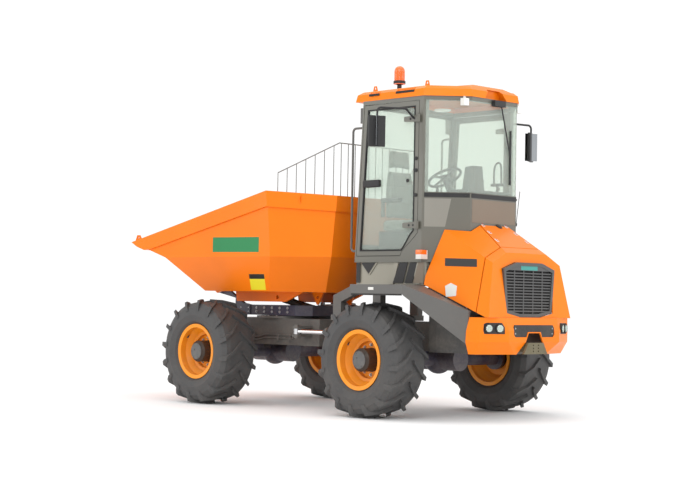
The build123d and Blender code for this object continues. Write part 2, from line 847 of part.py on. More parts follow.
def lamp_corner(share, height):
    """A point on the bumper's left slanted corner, and the way it faces."""
    face = Vector(tail_x, 400, height)
    edge = Vector(tail_x + 121, 693, height)
    along = (edge - face).normalized()
    return face + (edge - face) * share, Vector(-along.Y, along.X, 0), along


def lamp_housing(clearance=0):
    """The black housing behind the left pair of lamps."""
    middle, outward, along = lamp_corner(0.51, 925)
    half_long = 118 + clearance
    half_high = 54 + clearance
    plane = Plane(middle - outward * (32 + clearance), x_dir=along, z_dir=outward)
    outline = [(-half_long, half_high), (half_long - 12, half_high), (half_long, half_high - 30),
               (half_long, -half_high + 12), (half_long - 30, -half_high), (-half_long + 30, -half_high),
               (-half_long, -half_high + 40)]
    face = plane * make_face(Polyline(outline, close=True))
    return extrude(face, amount=27 + clearance * 40, dir=outward)


def tail_lamps():
    """Twin round lamps in a black housing on each slanted corner of the bumper."""
    lamps = lamp_housing()
    for share in (0.32, 0.70):
        middle, outward, _ = lamp_corner(share, 925)
        lamps += rod(middle - outward * 6, middle + outward * 10, 44)
    return both(lamps)


def fender_form(inset=0):
    """The left fender as a block: level over the tyre, then falling and narrowing to the tail."""
    block = box(fender_rear_x, fender_front_x - inset, 400, fender_half - inset, 500, fender_top_z - inset)
    kink = (fender_kink_x, fender_half, fender_top_z)
    inner_kink = (behind(425), cab_half + 7, fender_top_z)
    tail_top = (fender_rear_x, cab_half - 15, 1092)
    tail_low = (fender_rear_x, cab_half + 30, 765)
    within = (fender_front_x - 300, fender_half - 300, 800)
    fall = plane_through(kink, inner_kink, tail_top, inset, within)
    flank = plane_through(kink, tail_top, tail_low, inset, within)
    return trimmed(block, [fall, flank])


def fender():
    """The left fender as a bent sheet, open below and towards the chassis."""
    inner_line = [
        (fender_front_x, 400),
        (fender_front_x, cab_half - 15),
        (behind(425), cab_half - 15),
        (behind(440), cab_half + 13),
        (fender_rear_x, cab_half - 45),
        (fender_rear_x, 400),
    ]
    skirt_z = fender_top_z - fender_skirt
    below = slab_y(
        [
            (fender_front_x + 10, skirt_z),
            (fender_kink_x, skirt_z),
            (fender_rear_x - 10, 760),
            (fender_rear_x - 10, 400),
            (fender_front_x + 10, 400),
        ],
        300,
        fender_half + 100,
    )
    return fender_form() - fender_form(fender_wall) - slab_z(inner_line, 400, 1500) - below


def side_tank():
    """The dark tank between the left rear wheel and the tail."""
    inner = rear_frame_half + 1
    front_half = cab_half + 20
    plan = [(behind(525), inner), (behind(525), front_half), (behind(625), front_half),
            (fender_rear_x + 20, cab_half - 25), (fender_rear_x + 20, inner)]
    return slab_z(plan, 672, 1050)


# Cab

def cab_section(z, x_front, inset):
    """The cab's plan outline at one height, with its walls moved in."""
    left = [
        (x_front - inset, cab_half - inset),
        (cab_pillar_x + inset * 0.35, cab_half - inset),
        (cab_rear_x + inset, cab_rear_half - inset * 0.35),
    ]
    points = left + [(x, -y) for x, y in reversed(left)]
    return make_face(Polyline([(x, y, z) for x, y in points], close=True))


def cab_form(inset=0, low=cab_floor_z, high=cab_roof_z):
    """The cab's outside between two heights, its front leaning back."""
    lean = (cab_front_high_x - cab_front_low_x) / (cab_roof_z - cab_floor_z)
    low_x = cab_front_low_x + lean * (low - cab_floor_z)
    high_x = cab_front_low_x + lean * (high - cab_floor_z)
    return loft([cab_section(low, low_x, inset), cab_section(high, high_x, inset)], ruled=True)


def door_outline(inset=0):
    """The left door in X and Z, with the cut away lower rear corner."""
    front_low = cab_front_low_x - 28 - inset
    front_high = cab_front_high_x - 22 - inset
    rear = cab_pillar_x + 60 + inset
    notch = cab_pillar_x + 265 + inset * 0.4
    top = cab_roof_z - 48 - inset
    low = cab_floor_z + 68 + inset
    return [
        (front_low, low),
        (front_high, top),
        (rear, top),
        (rear, 1870 + inset * 0.4),
        (rear + 50, 1820 + inset * 0.4),
        (notch, 1690 + inset * 0.6),
        (notch + 30, low),
    ]


def cab_frame():
    """The cab's floor, pillars, sills and rear panels as one hollow frame."""
    shell = cab_form() - cab_form(cab_wall, cab_floor_z + 40, cab_roof_z + 1)
    door_hole = slab_y(door_outline(-door_gap), -cab_half - 100, cab_half + 100)
    rear_hole = rear_opening(0)
    front_hole = front_opening(0)
    roof_rim = cab_form(0, cab_roof_z - 40, cab_roof_z) - cab_form(70, cab_roof_z - 41, cab_roof_z + 1)
    return shell - door_hole - rear_hole - front_hole + roof_rim


def rear_opening(inset):
    """The space of the bent rear pane, with its edges moved in."""
    low = cab_sill_z + 40 + inset
    high = cab_roof_z - 40 - inset
    return box(cab_rear_x - 100, cab_pillar_x - 12 - inset, -cab_half - 100, cab_half + 100, low, high)


def front_opening(inset):
    """The space of the front pane, with its edges moved in."""
    half = cab_half - 60 - inset
    high = cab_roof_z - 70 - inset
    return box(cab_front_high_x - 190, cab_front_low_x + 116, -half, half, 1760 + inset, high)


def cab_glass():
    """The bent rear pane and the front pane."""
    skin = cab_form(6) - cab_form(6 + glass_thick)
    return (skin & rear_opening(1)) + (skin & front_opening(1))


def cab_base():
    """The pale box under the cab, on the fenders and the frame, stepped back at its rear corners."""
    side = cab_half - 25
    front = cab_front_low_x - 10
    rear = cab_pillar_x - 30
    plan = [(front, side), (rear + 30, side), (rear, side - 20)]
    outer = slab_z(plan + [(x, -y) for x, y in reversed(plan)], cab_base_z, cab_floor_z)
    inner = box(rear - 10, front - 30, -side + 40, side - 40, cab_base_z - 1, cab_floor_z - 30)
    strut_x = front - 480
    strut = slab_y(
        [(strut_x, cab_base_z + 2), (strut_x - 60, cab_base_z + 2), (strut_x - 130, cab_floor_z - 4),
         (strut_x - 70, cab_floor_z - 4)],
        side - 1,
        side + 14,
    )
    fin = slab_y(
        [(front - 95, cab_floor_z - 2), (front - 310, cab_floor_z - 2), (front - 200, cab_floor_z - 130)],
        side - 1,
        side + 10,
    )
    recess = slab_y(
        [(rear + 175, cab_floor_z - 4), (rear + 60, cab_floor_z - 4), (rear + 60, cab_base_z + 8),
         (rear + 105, cab_base_z + 8)],
        side - 1,
        side + 14,
    )
    return outer - inner + both(strut) + both(fin) + both(recess)


def door_pieces():
    """The left door: its frame with hinge plates and handle, and its pane."""
    frame = slab_y(door_outline(), cab_half - door_thick, cab_half)
    frame -= slab_y(door_outline(door_frame), cab_half - door_thick - 1, cab_half + 1)
    hinge = cab_pillar_x + 40
    for z in (1910, 2990):
        outline = [(hinge + 20, z), (hinge + 210, z + 10), (hinge + 210, z + 60), (hinge + 20, z + 70)]
        frame += slab_y(outline, cab_half, cab_half + 18)
        frame += rod((hinge, cab_half + 24, z - 4), (hinge, cab_half + 24, z + 74), 16)
        frame += box(hinge, hinge + 50, cab_half + 8, cab_half + 22, z, z + 70)
    lock = cab_front_low_x - 110
    handle = box(lock - 190, lock, cab_half, cab_half + 22, 2350, 2420)
    handle += box(lock - 170, lock - 60, cab_half + 21, cab_half + 38, 2368, 2402)
    pane = slab_y(door_outline(door_frame + 0.5), cab_half - 24, cab_half - 24 + glass_thick)
    return frame + handle, pane


def mirror_piece(x_ahead):
    """The left mirror on its bent arm, carried by the door's upper hinge plate."""
    foot_x = cab_pillar_x + 120
    head_x = cab_pillar_x + x_ahead
    top_z = mirror_z + 239
    arm = bent_tube(
        [
            (foot_x, cab_half + 14, 3030),
            (foot_x, cab_half + 130, top_z),
            (head_x, mirror_half, top_z),
            (head_x, mirror_half, mirror_z - 140),
        ],
        [40, 40],
        11,
    )
    arm -= box(foot_x - 60, foot_x + 60, cab_half - 60, cab_half + 18, 2950, 3150)
    head = Pos(head_x + 5, mirror_half, mirror_z) * Rot(0, 0, mirror_turn) * Box(36, 180, 310)
    return arm + fillet(head.edges().filter_by(Axis.Z), 12)


def roof_level(z, inset):
    """The roof's outline in plan at one height."""
    left = [
        (cab_front_high_x + 119 - inset, cab_half - 3 - inset),
        (cab_pillar_x - 5, cab_half + 11 - inset),
        (cab_rear_x - 10 + inset, cab_rear_half + 12 - inset * 0.4),
    ]
    points = left + [(x, -y) for x, y in reversed(left)]
    return make_face(Polyline([(x, y, z) for x, y in points], close=True))


def roof_hump_level(z, inset):
    """The raised tail's outline in plan at one height."""
    front = cab_pillar_x + 360 - inset * 3
    rear = cab_rear_x + 40 + inset
    left = [(front, 430 - inset * 2), (rear, 330 - inset * 1.5)]
    points = left + [(x, -y) for x, y in reversed(left)]
    return make_face(Polyline([(x, y, z) for x, y in points], close=True))


def roof():
    """The roof cap with leaning sides, a raised tail, side slots, eyes and a notch over the rear pane."""
    low = cab_roof_z
    shoulder = low + 75
    top = low + 108
    cap = loft([roof_level(low, 0), roof_level(shoulder, 14), roof_level(top, 60)], ruled=True)
    hump = loft([roof_hump_level(top - 8, 0), roof_hump_level(top + 32, 60)], ruled=True)
    hollow = cab_form(90, low - 1, low + 50)
    notch_outline = [(170, low - 1), (100, low + 98), (-100, low + 98), (-170, low - 1)]
    notch = slab_x(notch_outline, cab_rear_x - 100, cab_rear_x + 70)
    fittings = Part()
    slots = Part()
    for ahead, length in ((700, 150), (260, 260)):
        slot_x = cab_pillar_x + ahead
        half = length / 2
        slots += box(slot_x - half, slot_x + half, cab_half - 40, cab_half + 40, low + 78, low + 100)
    for ahead in (796, 60):
        eye_x = cab_pillar_x + ahead
        foot = [(eye_x - 34, top - 6), (eye_x + 34, top - 6)]
        eye = slab_y(foot + [(eye_x + 16, top + 62), (eye_x - 16, top + 62)], 0, 12)
        eye -= rod((eye_x, -10, top + 38), (eye_x, 30, top + 38), 13)
        fittings += Pos(0, cab_half - 125, 0) * eye
    return cap + hump - hollow - notch - both(slots) + both(fittings)


def seat_pieces():
    """The operator's seat facing the engine end: its base and its cushions."""
    floor = cab_floor_z + 40
    base = box(seat_x - 130, seat_x + 270, -220, 220, floor, floor + 290)
    cushion = box(seat_x - 220, seat_x + 230, -245, 245, floor + 291, floor + 410)
    cushion = fillet(cushion.edges().filter_by(Axis.Z), 60)
    back_foot = [(seat_x + 195, floor + 411), (seat_x + 115, floor + 411)]
    back = slab_y(back_foot + [(seat_x + 165, 2560), (seat_x + 240, 2555)], -230, 230)
    head_foot = [(seat_x + 240, 2600), (seat_x + 170, 2600)]
    head = slab_y(head_foot + [(seat_x + 185, 2780), (seat_x + 250, 2780)], -130, 130)
    neck_foot = [(seat_x + 230, 2550), (seat_x + 185, 2550)]
    neck = slab_y(neck_foot + [(seat_x + 195, 2605), (seat_x + 235, 2605)], -60, 60)
    place = Pos(0, driver_y, 0)
    return place * base, place * (cushion + (back + neck + head))


def console():
    """The dark console and the steering column at the engine end of the cab."""
    rear = cab_rear_x + 70
    floor = cab_floor_z + 40
    desk = slab_y([(rear, floor), (rear + 370, floor), (rear + 230, 2320), (rear, 2320)], -330, 330)
    desk = desk & cab_form(cab_wall + 5, floor, 2400)
    column = rod((rear + 240, driver_y, 2200), (rear + 370, driver_y, 2430), 34)
    screen_outline = [(rear + 10, 2319), (rear + 190, 2319), (rear + 150, 2560), (rear + 40, 2570)]
    screen = slab_y(screen_outline, screen_y - screen_half, screen_y + screen_half)
    lever_y = screen_y - screen_half
    lever = rod((rear + 110, lever_y + 1, 2430), (rear + 110, lever_y - lever_reach, 2430), 9)
    return desk + column + screen + lever


def steering_wheel():
    """The steering wheel on its column, its rim faceted."""
    rim = Torus(175, 14)
    spokes = Box(330, 26, 12) + Box(26, 330, 12) + Cylinder(34, 40)
    return Pos(cab_rear_x + 455, driver_y, 2456) * Rot(0, 29.5, 0) * (rim + spokes)


def beacon():
    """The amber beacon on its stalk, on the left of the roof."""
    x = cab_front_high_x - 251
    y = cab_half - 275
    top = cab_roof_z + 108
    stalk = rod((x, y, top), (x, y, top + 82), 22)
    foot = rod((x, y, top + 82), (x, y, top + 117), 62)
    dome = rod((x, y, top + 117), (x, y, top + 222), 55)
    return stalk + foot + dome + Pos(x, y, top + 222) * Sphere(55)


def work_lamps():
    """Square lamps on the roof's rear corners, the indicators on the pillars and the lamp box in front."""
    x = cab_rear_x + 50
    y = cab_rear_half + 60
    square = box(x - 30, x + 25, y - 35, y + 35, cab_roof_z - 95, cab_roof_z - 22)
    bracket = box(x - 6, x + 6, y - 15, y + 15, cab_roof_z - 23, cab_roof_z)
    signal = box(cab_pillar_x - 60, cab_pillar_x + 10, cab_half - 30, cab_half + 70, 1600, 1690) - cab_form()
    return both(square + bracket) - cab_form() + both(signal)


def wiper():
    """The wiper motor in the roof notch with its arm and blade."""
    x = cab_rear_x - 1
    motor = box(x - 49, x, -110, 60, cab_roof_z - 70, cab_roof_z - 10)
    arm = rod((x - 29, -60, cab_roof_z - 50), (x - 15, -230, cab_roof_z - 560), 7)
    blade = box(x - 15, x - 2, -250, -232, cab_roof_z - 860, cab_roof_z - 300)
    return motor + arm + blade


def grab_rails():
    """The long rails beside the front corners of the cab, and the lamp box above the left one."""
    x = cab_front_low_x + rail_reach
    y = cab_half - 15
    rail = bent_tube(
        [(x - 140, y, 2980), (x, y, 2980), (x, y, 1690), (x - 90, y, 1690)],
        [40, 40],
        12,
    )
    front = cab_front_high_x
    holder = box(front - 10, front + 60, y - 60, y - 4, 3030, 3190)
    return both(rail - cab_form()) + both(holder - cab_form())


def engine_block():
    """The engine as one plain mass at its real place, on the rear frame's floor."""
    half = rear_frame_half - frame_plate - 16
    return box(fender_rear_x + 20, behind(225), -half, half, frame_bottom + frame_plate, 1500)


def pieces():
    """Every piece by its name."""
    parts = wheel_pieces()
    parts["front_axle"] = axle(front_axle_x)
    parts["rear_axle"] = axle(rear_axle_x)
    parts["front_frame"] = front_frame()
    parts["rear_frame"] = rear_frame()
    barrel, rod_part = steer_cylinder()
    parts["left_steer_barrel"] = barrel
    parts["left_steer_rod"] = rod_part
    parts["right_steer_barrel"] = mirrored(barrel)
    parts["right_steer_rod"] = mirrored(rod_part)
    parts["swivel_frame"] = swivel_frame()
    parts["skip"] = skip()
    parts["skip_guard"] = skip_guard()
    barrel, rod_part = tip_cylinder()
    parts["tip_barrel"] = barrel
    parts["tip_rod"] = rod_part
    strip, wing, cowl = hood_pieces()
    parts["hood_strip"] = strip
    parts["left_wing"] = wing
    parts["right_wing"] = mirrored(wing)
    parts["cowl"] = cowl
    parts["grille"] = grille()
    parts["bumper"] = bumper()
    parts["tail_panel"] = tail_panel()
    parts["hitch_plate"] = hitch_plate()
    parts["tail_lamps"] = tail_lamps()
    parts["fenders"] = both(fender())
    parts["side_tanks"] = both(side_tank())
    parts["cab_frame"] = cab_frame()
    parts["cab_base"] = cab_base()
    parts["cab_glass"] = cab_glass()
    door, pane = door_pieces()
    parts["left_door"] = door
    parts["left_door_glass"] = pane
    parts["right_door"] = mirrored(door)
    parts["right_door_glass"] = mirrored(pane)
    parts["left_mirror"] = mirror_piece(left_mirror_ahead)
    parts["right_mirror"] = mirrored(mirror_piece(right_mirror_ahead))
    parts["roof"] = roof()
    seat, cushions = seat_pieces()
    parts["seat_base"] = seat
    parts["seat_cushions"] = cushions
    parts["console"] = console()
    parts["steering_wheel"] = steering_wheel()
    parts["beacon"] = beacon()
    parts["work_lamps"] = work_lamps()
    parts["wiper"] = wiper()
    parts["grab_rails"] = grab_rails()
    parts["engine_block"] = engine_block()
    return parts


os.makedirs("parts", exist_ok=True)
for name, part in pieces().items():
    export_step(Pos(-origin_x, 0, 0) * part, f"parts/{name}.step")
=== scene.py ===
# %% [markdown]
# # Dressing a site dumper
# The imported CAD model gives every solid its place. This script gives the machine its
# paint, rubber, glass and cloth, and adds the small pieces that a maker bolts on last.
# The frame is loaded first.

# %% Load the frame
import bpy
import bmesh
import math
from mathutils import Matrix, Vector


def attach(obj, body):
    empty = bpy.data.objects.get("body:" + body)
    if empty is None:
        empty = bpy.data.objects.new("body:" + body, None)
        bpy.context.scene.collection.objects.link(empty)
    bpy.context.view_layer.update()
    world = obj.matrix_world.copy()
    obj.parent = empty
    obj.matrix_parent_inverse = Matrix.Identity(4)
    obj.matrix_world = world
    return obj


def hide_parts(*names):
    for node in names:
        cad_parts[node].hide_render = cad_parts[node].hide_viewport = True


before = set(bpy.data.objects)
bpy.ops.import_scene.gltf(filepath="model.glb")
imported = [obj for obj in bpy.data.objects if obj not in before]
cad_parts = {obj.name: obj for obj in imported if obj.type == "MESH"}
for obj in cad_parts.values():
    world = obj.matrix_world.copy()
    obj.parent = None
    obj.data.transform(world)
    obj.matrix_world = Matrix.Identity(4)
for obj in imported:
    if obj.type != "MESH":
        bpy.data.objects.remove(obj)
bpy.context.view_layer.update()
# The CAD counts X from the middle of the wheelbase. The row frame's origin is this far ahead of it.
middle_x = 0.0365
half_base, half_track, axle_high = 1.275, 1.0, 0.58
flanks = (("left", 1), ("right", -1))


# %% [markdown]
# ## Camera
# The photograph was taken from behind the left rear corner with a long lens, near wheel
# height. A camera can be aimed by an empty or placed by its matrix. The matrix is used
# here, because the picture leans by one degree and a target would not give that roll.

# %% Place the camera
azimuth, elevation, roll = (math.radians(v) for v in (225.134, -2.047, 1.032))
stand = (-12.5265, 12.505, 1.163)
back = Vector((
    math.sin(azimuth) * math.cos(elevation),
    -math.cos(azimuth) * math.cos(elevation),
    math.sin(elevation),
))
level = Vector((math.cos(azimuth), math.sin(azimuth), 0))
upright = back.cross(level)
side_axis = level * math.cos(roll) + upright * math.sin(roll)
up_axis = upright * math.cos(roll) - level * math.sin(roll)
camera = bpy.data.objects.new("camera", bpy.data.cameras.new("camera"))
camera.data.sensor_width = 36
camera.data.lens = 81.89
turn = Matrix((side_axis, up_axis, back)).transposed().to_4x4()
camera.matrix_world = Matrix.Translation(stand) @ turn
bpy.context.scene.collection.objects.link(camera)
bpy.context.scene.camera = camera
print("camera at", tuple(round(v, 3) for v in camera.location))


# %% [markdown]
# ## Floor and light
# A studio shot needs a pale floor, a bright even sky and a few large lamps that draw
# soft lines along the folds of the sheet metal. Area lamps are softer than suns.

# %% Floor, sky and lamps
def linked(name, data):
    thing = bpy.data.objects.new(name, data)
    bpy.context.scene.collection.objects.link(thing)
    return thing


def fill(node, values):
    for label, value in values.items():
        node.inputs[label].default_value = value


def softbox(name, place, target, size, watts):
    lamp = bpy.data.lights.new(name, "AREA")
    lamp.shape = "RECTANGLE"
    lamp.size, lamp.size_y = size
    lamp.energy = watts
    thing = linked(name, lamp)
    aim = Vector(target) - Vector(place)
    thing.rotation_euler = aim.to_track_quat("-Z", "Y").to_euler()
    thing.location = place


bm = bmesh.new()
bmesh.ops.create_grid(bm, x_segments=2, y_segments=2, size=400)
floor_mesh = bpy.data.meshes.new("floor")
bm.to_mesh(floor_mesh)
bm.free()
floor = linked("floor", floor_mesh)
pale = bpy.data.materials.new("floor_pale")
pale.use_nodes = True
fill(pale.node_tree.nodes["Principled BSDF"], {"Base Color": (0.97, 0.97, 0.97, 1), "Roughness": 1.0})
floor_mesh.materials.append(pale)
softbox("key_left", (-7, 8, 7), (0, 0, 1.5), (6, 5), 230)
softbox("fill_rear", (-9, -4, 4), (-2, 0, 1.5), (5, 4), 110)
softbox("top", (0, 0, 9), (0, 0, 0), (9, 6), 150)
softbox("front_left", (6, 9, 4), (1, 0, 1), (5, 4), 110)
sky = bpy.data.worlds.new("sky")
bpy.context.scene.world = sky
sky.use_nodes = True
fill(sky.node_tree.nodes["Background"], {"Color": (1, 1, 1, 1), "Strength": 1.06})
bpy.context.scene.view_settings.view_transform = "Standard"
print("four lamps and a white sky")


# %% [markdown]
# ## Weather, shared by every finish
# Painted sheet, iron and rubber on a site machine all age alike: dust settles on what
# faces up and on what is near the ground, paint thins on the edges, and the tone varies
# a little over a large panel. One shader group works these out from object coordinates
# and hands masks to each material, so that each finish can use its own colours.

# %% Build the weather group
def socket(tree, name, way, kind="NodeSocketFloat", value=None):
    made = tree.interface.new_socket(name=name, in_out=way, socket_type=kind)
    if value is not None:
        made.default_value = value


def math_node(tree, operation, a, b=None, clamp=False):
    node = tree.nodes.new("ShaderNodeMath")
    node.operation = operation
    node.use_clamp = clamp
    for index, value in enumerate((a, b)):
        if isinstance(value, (int, float)):
            node.inputs[index].default_value = value
        elif value is not None:
            tree.links.new(value, node.inputs[index])
    return node.outputs[0]


def times(tree, a, b, clamp=False):
    return math_node(tree, "MULTIPLY", a, b, clamp)


def plus(tree, a, b):
    return math_node(tree, "ADD", a, b)


def noise_of(tree, vector, scale, detail=3, rough=0.55):
    node = tree.nodes.new("ShaderNodeTexNoise")
    fill(node, {"Scale": scale, "Detail": detail, "Roughness": rough})
    tree.links.new(vector, node.inputs["Vector"])
    return node.outputs["Fac"]


def ramp_of(tree, value, low, high, to_low=0.0, to_high=1.0):
    node = tree.nodes.new("ShaderNodeMapRange")
    node.clamp = True
    tree.links.new(value, node.inputs["Value"])
    fill(node, {"From Min": low, "From Max": high, "To Min": to_low, "To Max": to_high})
    return node.outputs["Result"]


weather = bpy.data.node_groups.new("weather", "ShaderNodeTree")
socket(weather, "Dust", "INPUT", value=0.3)
socket(weather, "Chips", "INPUT", value=0.3)
for label in ("Dust", "Chips", "Tone", "Grain", "Scratch"):
    socket(weather, label, "OUTPUT")
inside = weather.nodes.new("NodeGroupInput")
outside = weather.nodes.new("NodeGroupOutput")
where = weather.nodes.new("ShaderNodeTexCoord")
place = where.outputs["Object"]
split_normal = weather.nodes.new("ShaderNodeSeparateXYZ")
weather.links.new(where.outputs["Normal"], split_normal.inputs[0])
split_place = weather.nodes.new("ShaderNodeSeparateXYZ")
weather.links.new(place, split_place.inputs[0])
facing_up = ramp_of(weather, split_normal.outputs["Z"], 0.2, 1.0)
near_ground = ramp_of(weather, split_place.outputs["Z"], 0.1, 1.5, 1.0, 0.0)
clouds = ramp_of(weather, noise_of(weather, place, 3.5, 6, 0.62), 0.38, 0.66)
specks = ramp_of(weather, noise_of(weather, place, 38, 4, 0.7), 0.45, 0.7)
settled = plus(weather, times(weather, facing_up, 0.55), times(weather, near_ground, 0.75))
patches = plus(weather, times(weather, clouds, 0.7), times(weather, specks, 0.35))
dust_out = times(weather, times(weather, settled, patches), inside.outputs["Dust"], clamp=True)
rounded = weather.nodes.new("ShaderNodeBevel")
rounded.samples = 2
rounded.inputs["Radius"].default_value = 0.006
true_normal = weather.nodes.new("ShaderNodeNewGeometry")
dot = weather.nodes.new("ShaderNodeVectorMath")
dot.operation = "DOT_PRODUCT"
weather.links.new(rounded.outputs[0], dot.inputs[0])
weather.links.new(true_normal.outputs["Normal"], dot.inputs[1])
edge = ramp_of(weather, dot.outputs["Value"], 0.99, 0.86)
nibble = ramp_of(weather, noise_of(weather, place, 26, 5, 0.7), 0.5, 0.62)
chip_out = times(weather, times(weather, edge, nibble), inside.outputs["Chips"], clamp=True)
stretch = weather.nodes.new("ShaderNodeMapping")
fill(stretch, {"Scale": (6, 160, 60), "Rotation": (0.3, 0.2, 0.5)})
weather.links.new(place, stretch.inputs["Vector"])
scratch_out = ramp_of(weather, noise_of(weather, stretch.outputs[0], 1.0, 2), 0.68, 0.74)
for label, value in (
    ("Dust", dust_out),
    ("Chips", chip_out),
    ("Tone", ramp_of(weather, noise_of(weather, place, 1.3, 4), 0.3, 0.7)),
    ("Grain", noise_of(weather, place, 420, 2)),
    ("Scratch", scratch_out),
):
    weather.links.new(value, outside.inputs[label])
print("weather group with", len(weather.nodes), "nodes")


# %% [markdown]
# ## Paint and plain surfaces
# A coat of paint is a base colour that varies a little, a clear skin over it, bare
# primer where it has chipped, and dust over all. The same recipe makes moulded plastic
# and iron, with less shine.

# %% A recipe for coated surfaces
def mix_colour(tree, factor, first, second):
    node = tree.nodes.new("ShaderNodeMix")
    node.data_type = "RGBA"
    tree.links.new(factor, node.inputs[0])
    for index, value in ((6, first), (7, second)):
        if isinstance(value, tuple):
            node.inputs[index].default_value = (*value, 1)
        else:
            tree.links.new(value, node.inputs[index])
    return node.outputs[2]


def darker(colour, share):
    return tuple(v * share for v in colour)


primer, dry_earth = (0.16, 0.15, 0.14), (0.42, 0.36, 0.29)


def coated(name, colour, rough=0.35, shine=0.3, dust=0.3, chips=0.4, metal=0.0, grain=0.12,
           earth=dry_earth, variation=0.9, glow=0.0, specular=0.5):
    made = bpy.data.materials.new(name)
    made.use_nodes = True
    tree = made.node_tree
    surface = tree.nodes["Principled BSDF"]
    age = tree.nodes.new("ShaderNodeGroup")
    age.node_tree = weather
    fill(age, {"Dust": dust, "Chips": chips})
    tone = mix_colour(tree, age.outputs["Tone"], darker(colour, variation), colour)
    worn = mix_colour(tree, age.outputs["Chips"], tone, primer)
    dusty = mix_colour(tree, age.outputs["Dust"], worn, earth)
    tree.links.new(dusty, surface.inputs["Base Color"])
    tree.links.new(ramp_of(tree, age.outputs["Dust"], 0, 0.6, rough, min(0.95, rough + 0.4)),
                   surface.inputs["Roughness"])
    fill(surface, {"Metallic": metal, "Coat Weight": shine, "Specular IOR Level": specular,
                   "Coat Roughness": 0.08})
    height = plus(tree, times(tree, age.outputs["Grain"], grain), times(tree, age.outputs["Scratch"], -0.15))
    bump = tree.nodes.new("ShaderNodeBump")
    fill(bump, {"Strength": 0.25, "Distance": 0.001})
    tree.links.new(height, bump.inputs["Height"])
    tree.links.new(bump.outputs[0], surface.inputs["Normal"])
    if glow:
        fill(surface, {"Emission Strength": glow, "Emission Color": (*colour, 1)})
    return made


unpainted = {"shine": 0.0, "chips": 0.0}
hood_orange = coated("hood_orange", (0.96, 0.215, 0.002), rough=0.36, shine=0.08, dust=0.06, chips=0.2,
                     specular=0.2)
skip_orange = coated("skip_orange", (0.94, 0.2, 0.002), rough=0.4, shine=0.06, dust=0.08, chips=0.45,
                     specular=0.2)
band_grey = coated("band_grey", (0.11, 0.107, 0.101), rough=0.5, shine=0.1, dust=0.22, chips=0.5)
frame_grey = coated("frame_grey", (0.11, 0.104, 0.097), rough=0.5, shine=0.1, dust=0.6, chips=0.5)
# The side tanks: the frame's grey darkened to paint the shade under the fenders.
tank_grey = coated("tank_grey", (0.045, 0.043, 0.042), rough=0.5, shine=0.1, dust=0.5, chips=0.4)
grille_grey = coated("grille_grey", (0.075, 0.075, 0.075), rough=0.45, shine=0.1, chips=0.0, grain=0.5)
axle_blue = coated("axle_blue", (0.025, 0.022, 0.055), rough=0.4, shine=0.2, dust=0.6, chips=0.5)
cab_grey = coated("cab_grey", (0.135, 0.132, 0.108), rough=0.42, shine=0.2)
panel_beige = coated("panel_beige", (0.33, 0.31, 0.25), rough=0.5, shine=0.15, dust=0.35)
moulded_black = coated("moulded_black", (0.018, 0.018, 0.019), rough=0.55, dust=0.35, grain=0.6, **unpainted)
gasket_black = coated("gasket_black", (0.012, 0.012, 0.012), rough=0.7, grain=0.3, **unpainted)
engine_iron = coated("engine_iron", (0.09, 0.095, 0.1), rough=0.55, shine=0.05, dust=0.5, grain=0.9)
guard_grey = coated("guard_grey", (0.2, 0.195, 0.185), rough=0.5, shine=0.1, chips=0.6)
zinc = coated("zinc", (0.55, 0.55, 0.56), rough=0.38, shine=0.0, chips=0.2, metal=0.9)
hitch_olive = coated("hitch_olive", (0.12, 0.1, 0.045), rough=0.5, shine=0.1, dust=0.4, chips=0.6)
chrome = coated("chrome", (0.75, 0.75, 0.76), rough=0.12, shine=0.2, dust=0.1, chips=0.0, metal=1.0)
blank_green = coated("blank_green", (0.0, 0.21, 0.055), rough=0.45, shine=0.05, dust=0.1, chips=0.2)
blank_yellow = coated("blank_yellow", (0.85, 0.72, 0.02), rough=0.45, dust=0.1, chips=0.2)
# White for blank plates, lamps and switches; on the hood hinges the same white is a painted highlight.
blank_white = coated("blank_white", (0.75, 0.74, 0.7), rough=0.45, dust=0.15, chips=0.2)
blank_black = coated("blank_black", (0.015, 0.013, 0.012), dust=0.1, chips=0.2)
blank_teal = coated("blank_teal", (0.03, 0.3, 0.27), dust=0.1, chips=0.2)
# Deep red for the hood hinges' bolts: painted shade, the hinges as they look in shade.
red_mark = coated("red_mark", (0.6, 0.03, 0.02), rough=0.45, dust=0.15, chips=0.2)
mirror_silver = coated("mirror_silver", (0.4, 0.42, 0.44), rough=0.06, dust=0.05, metal=1.0, **unpainted)
lamp_lens = coated("lamp_lens", (0.85, 0.86, 0.84), rough=0.12, shine=0.6, dust=0.05, chips=0.0, glow=0.25)
amber_lens = coated("amber_lens", (0.93, 0.16, 0.02), rough=0.18, shine=0.5, dust=0.05, chips=0.0, glow=0.15)
print("paints and plastics:", len(bpy.data.materials))


# %% [markdown]
# ## Rims and tyres
# A wheel turns, so its pattern has to turn with it: rings are drawn by the distance from
# the axle's centre line. One group gives that distance. The rim's material uses it to
# leave the hub in bare grey, and the tyre's to mould fine rings into the sidewall.

# %% Distance from the axle, and the two wheel finishes
rings = bpy.data.node_groups.new("from_axle", "ShaderNodeTree")
socket(rings, "Axle X", "INPUT", value=0.0)
socket(rings, "Distance", "OUTPUT")
inside = rings.nodes.new("NodeGroupInput")
outside = rings.nodes.new("NodeGroupOutput")
where = rings.nodes.new("ShaderNodeTexCoord")
parts = rings.nodes.new("ShaderNodeSeparateXYZ")
rings.links.new(where.outputs["Object"], parts.inputs[0])
along = math_node(rings, "SUBTRACT", parts.outputs["X"], inside.outputs["Axle X"])
above = math_node(rings, "SUBTRACT", parts.outputs["Z"], axle_high)
square = plus(rings, times(rings, along, along), times(rings, above, above))
rings.links.new(math_node(rings, "SQRT", square), outside.inputs["Distance"])

axle_places = {"front": half_base - middle_x, "rear": -half_base - middle_x}
hub_radius = 0.122


def distance_in(material, axle_x):
    node = material.node_tree.nodes.new("ShaderNodeGroup")
    node.node_tree = rings
    node.inputs["Axle X"].default_value = axle_x
    return node.outputs["Distance"]


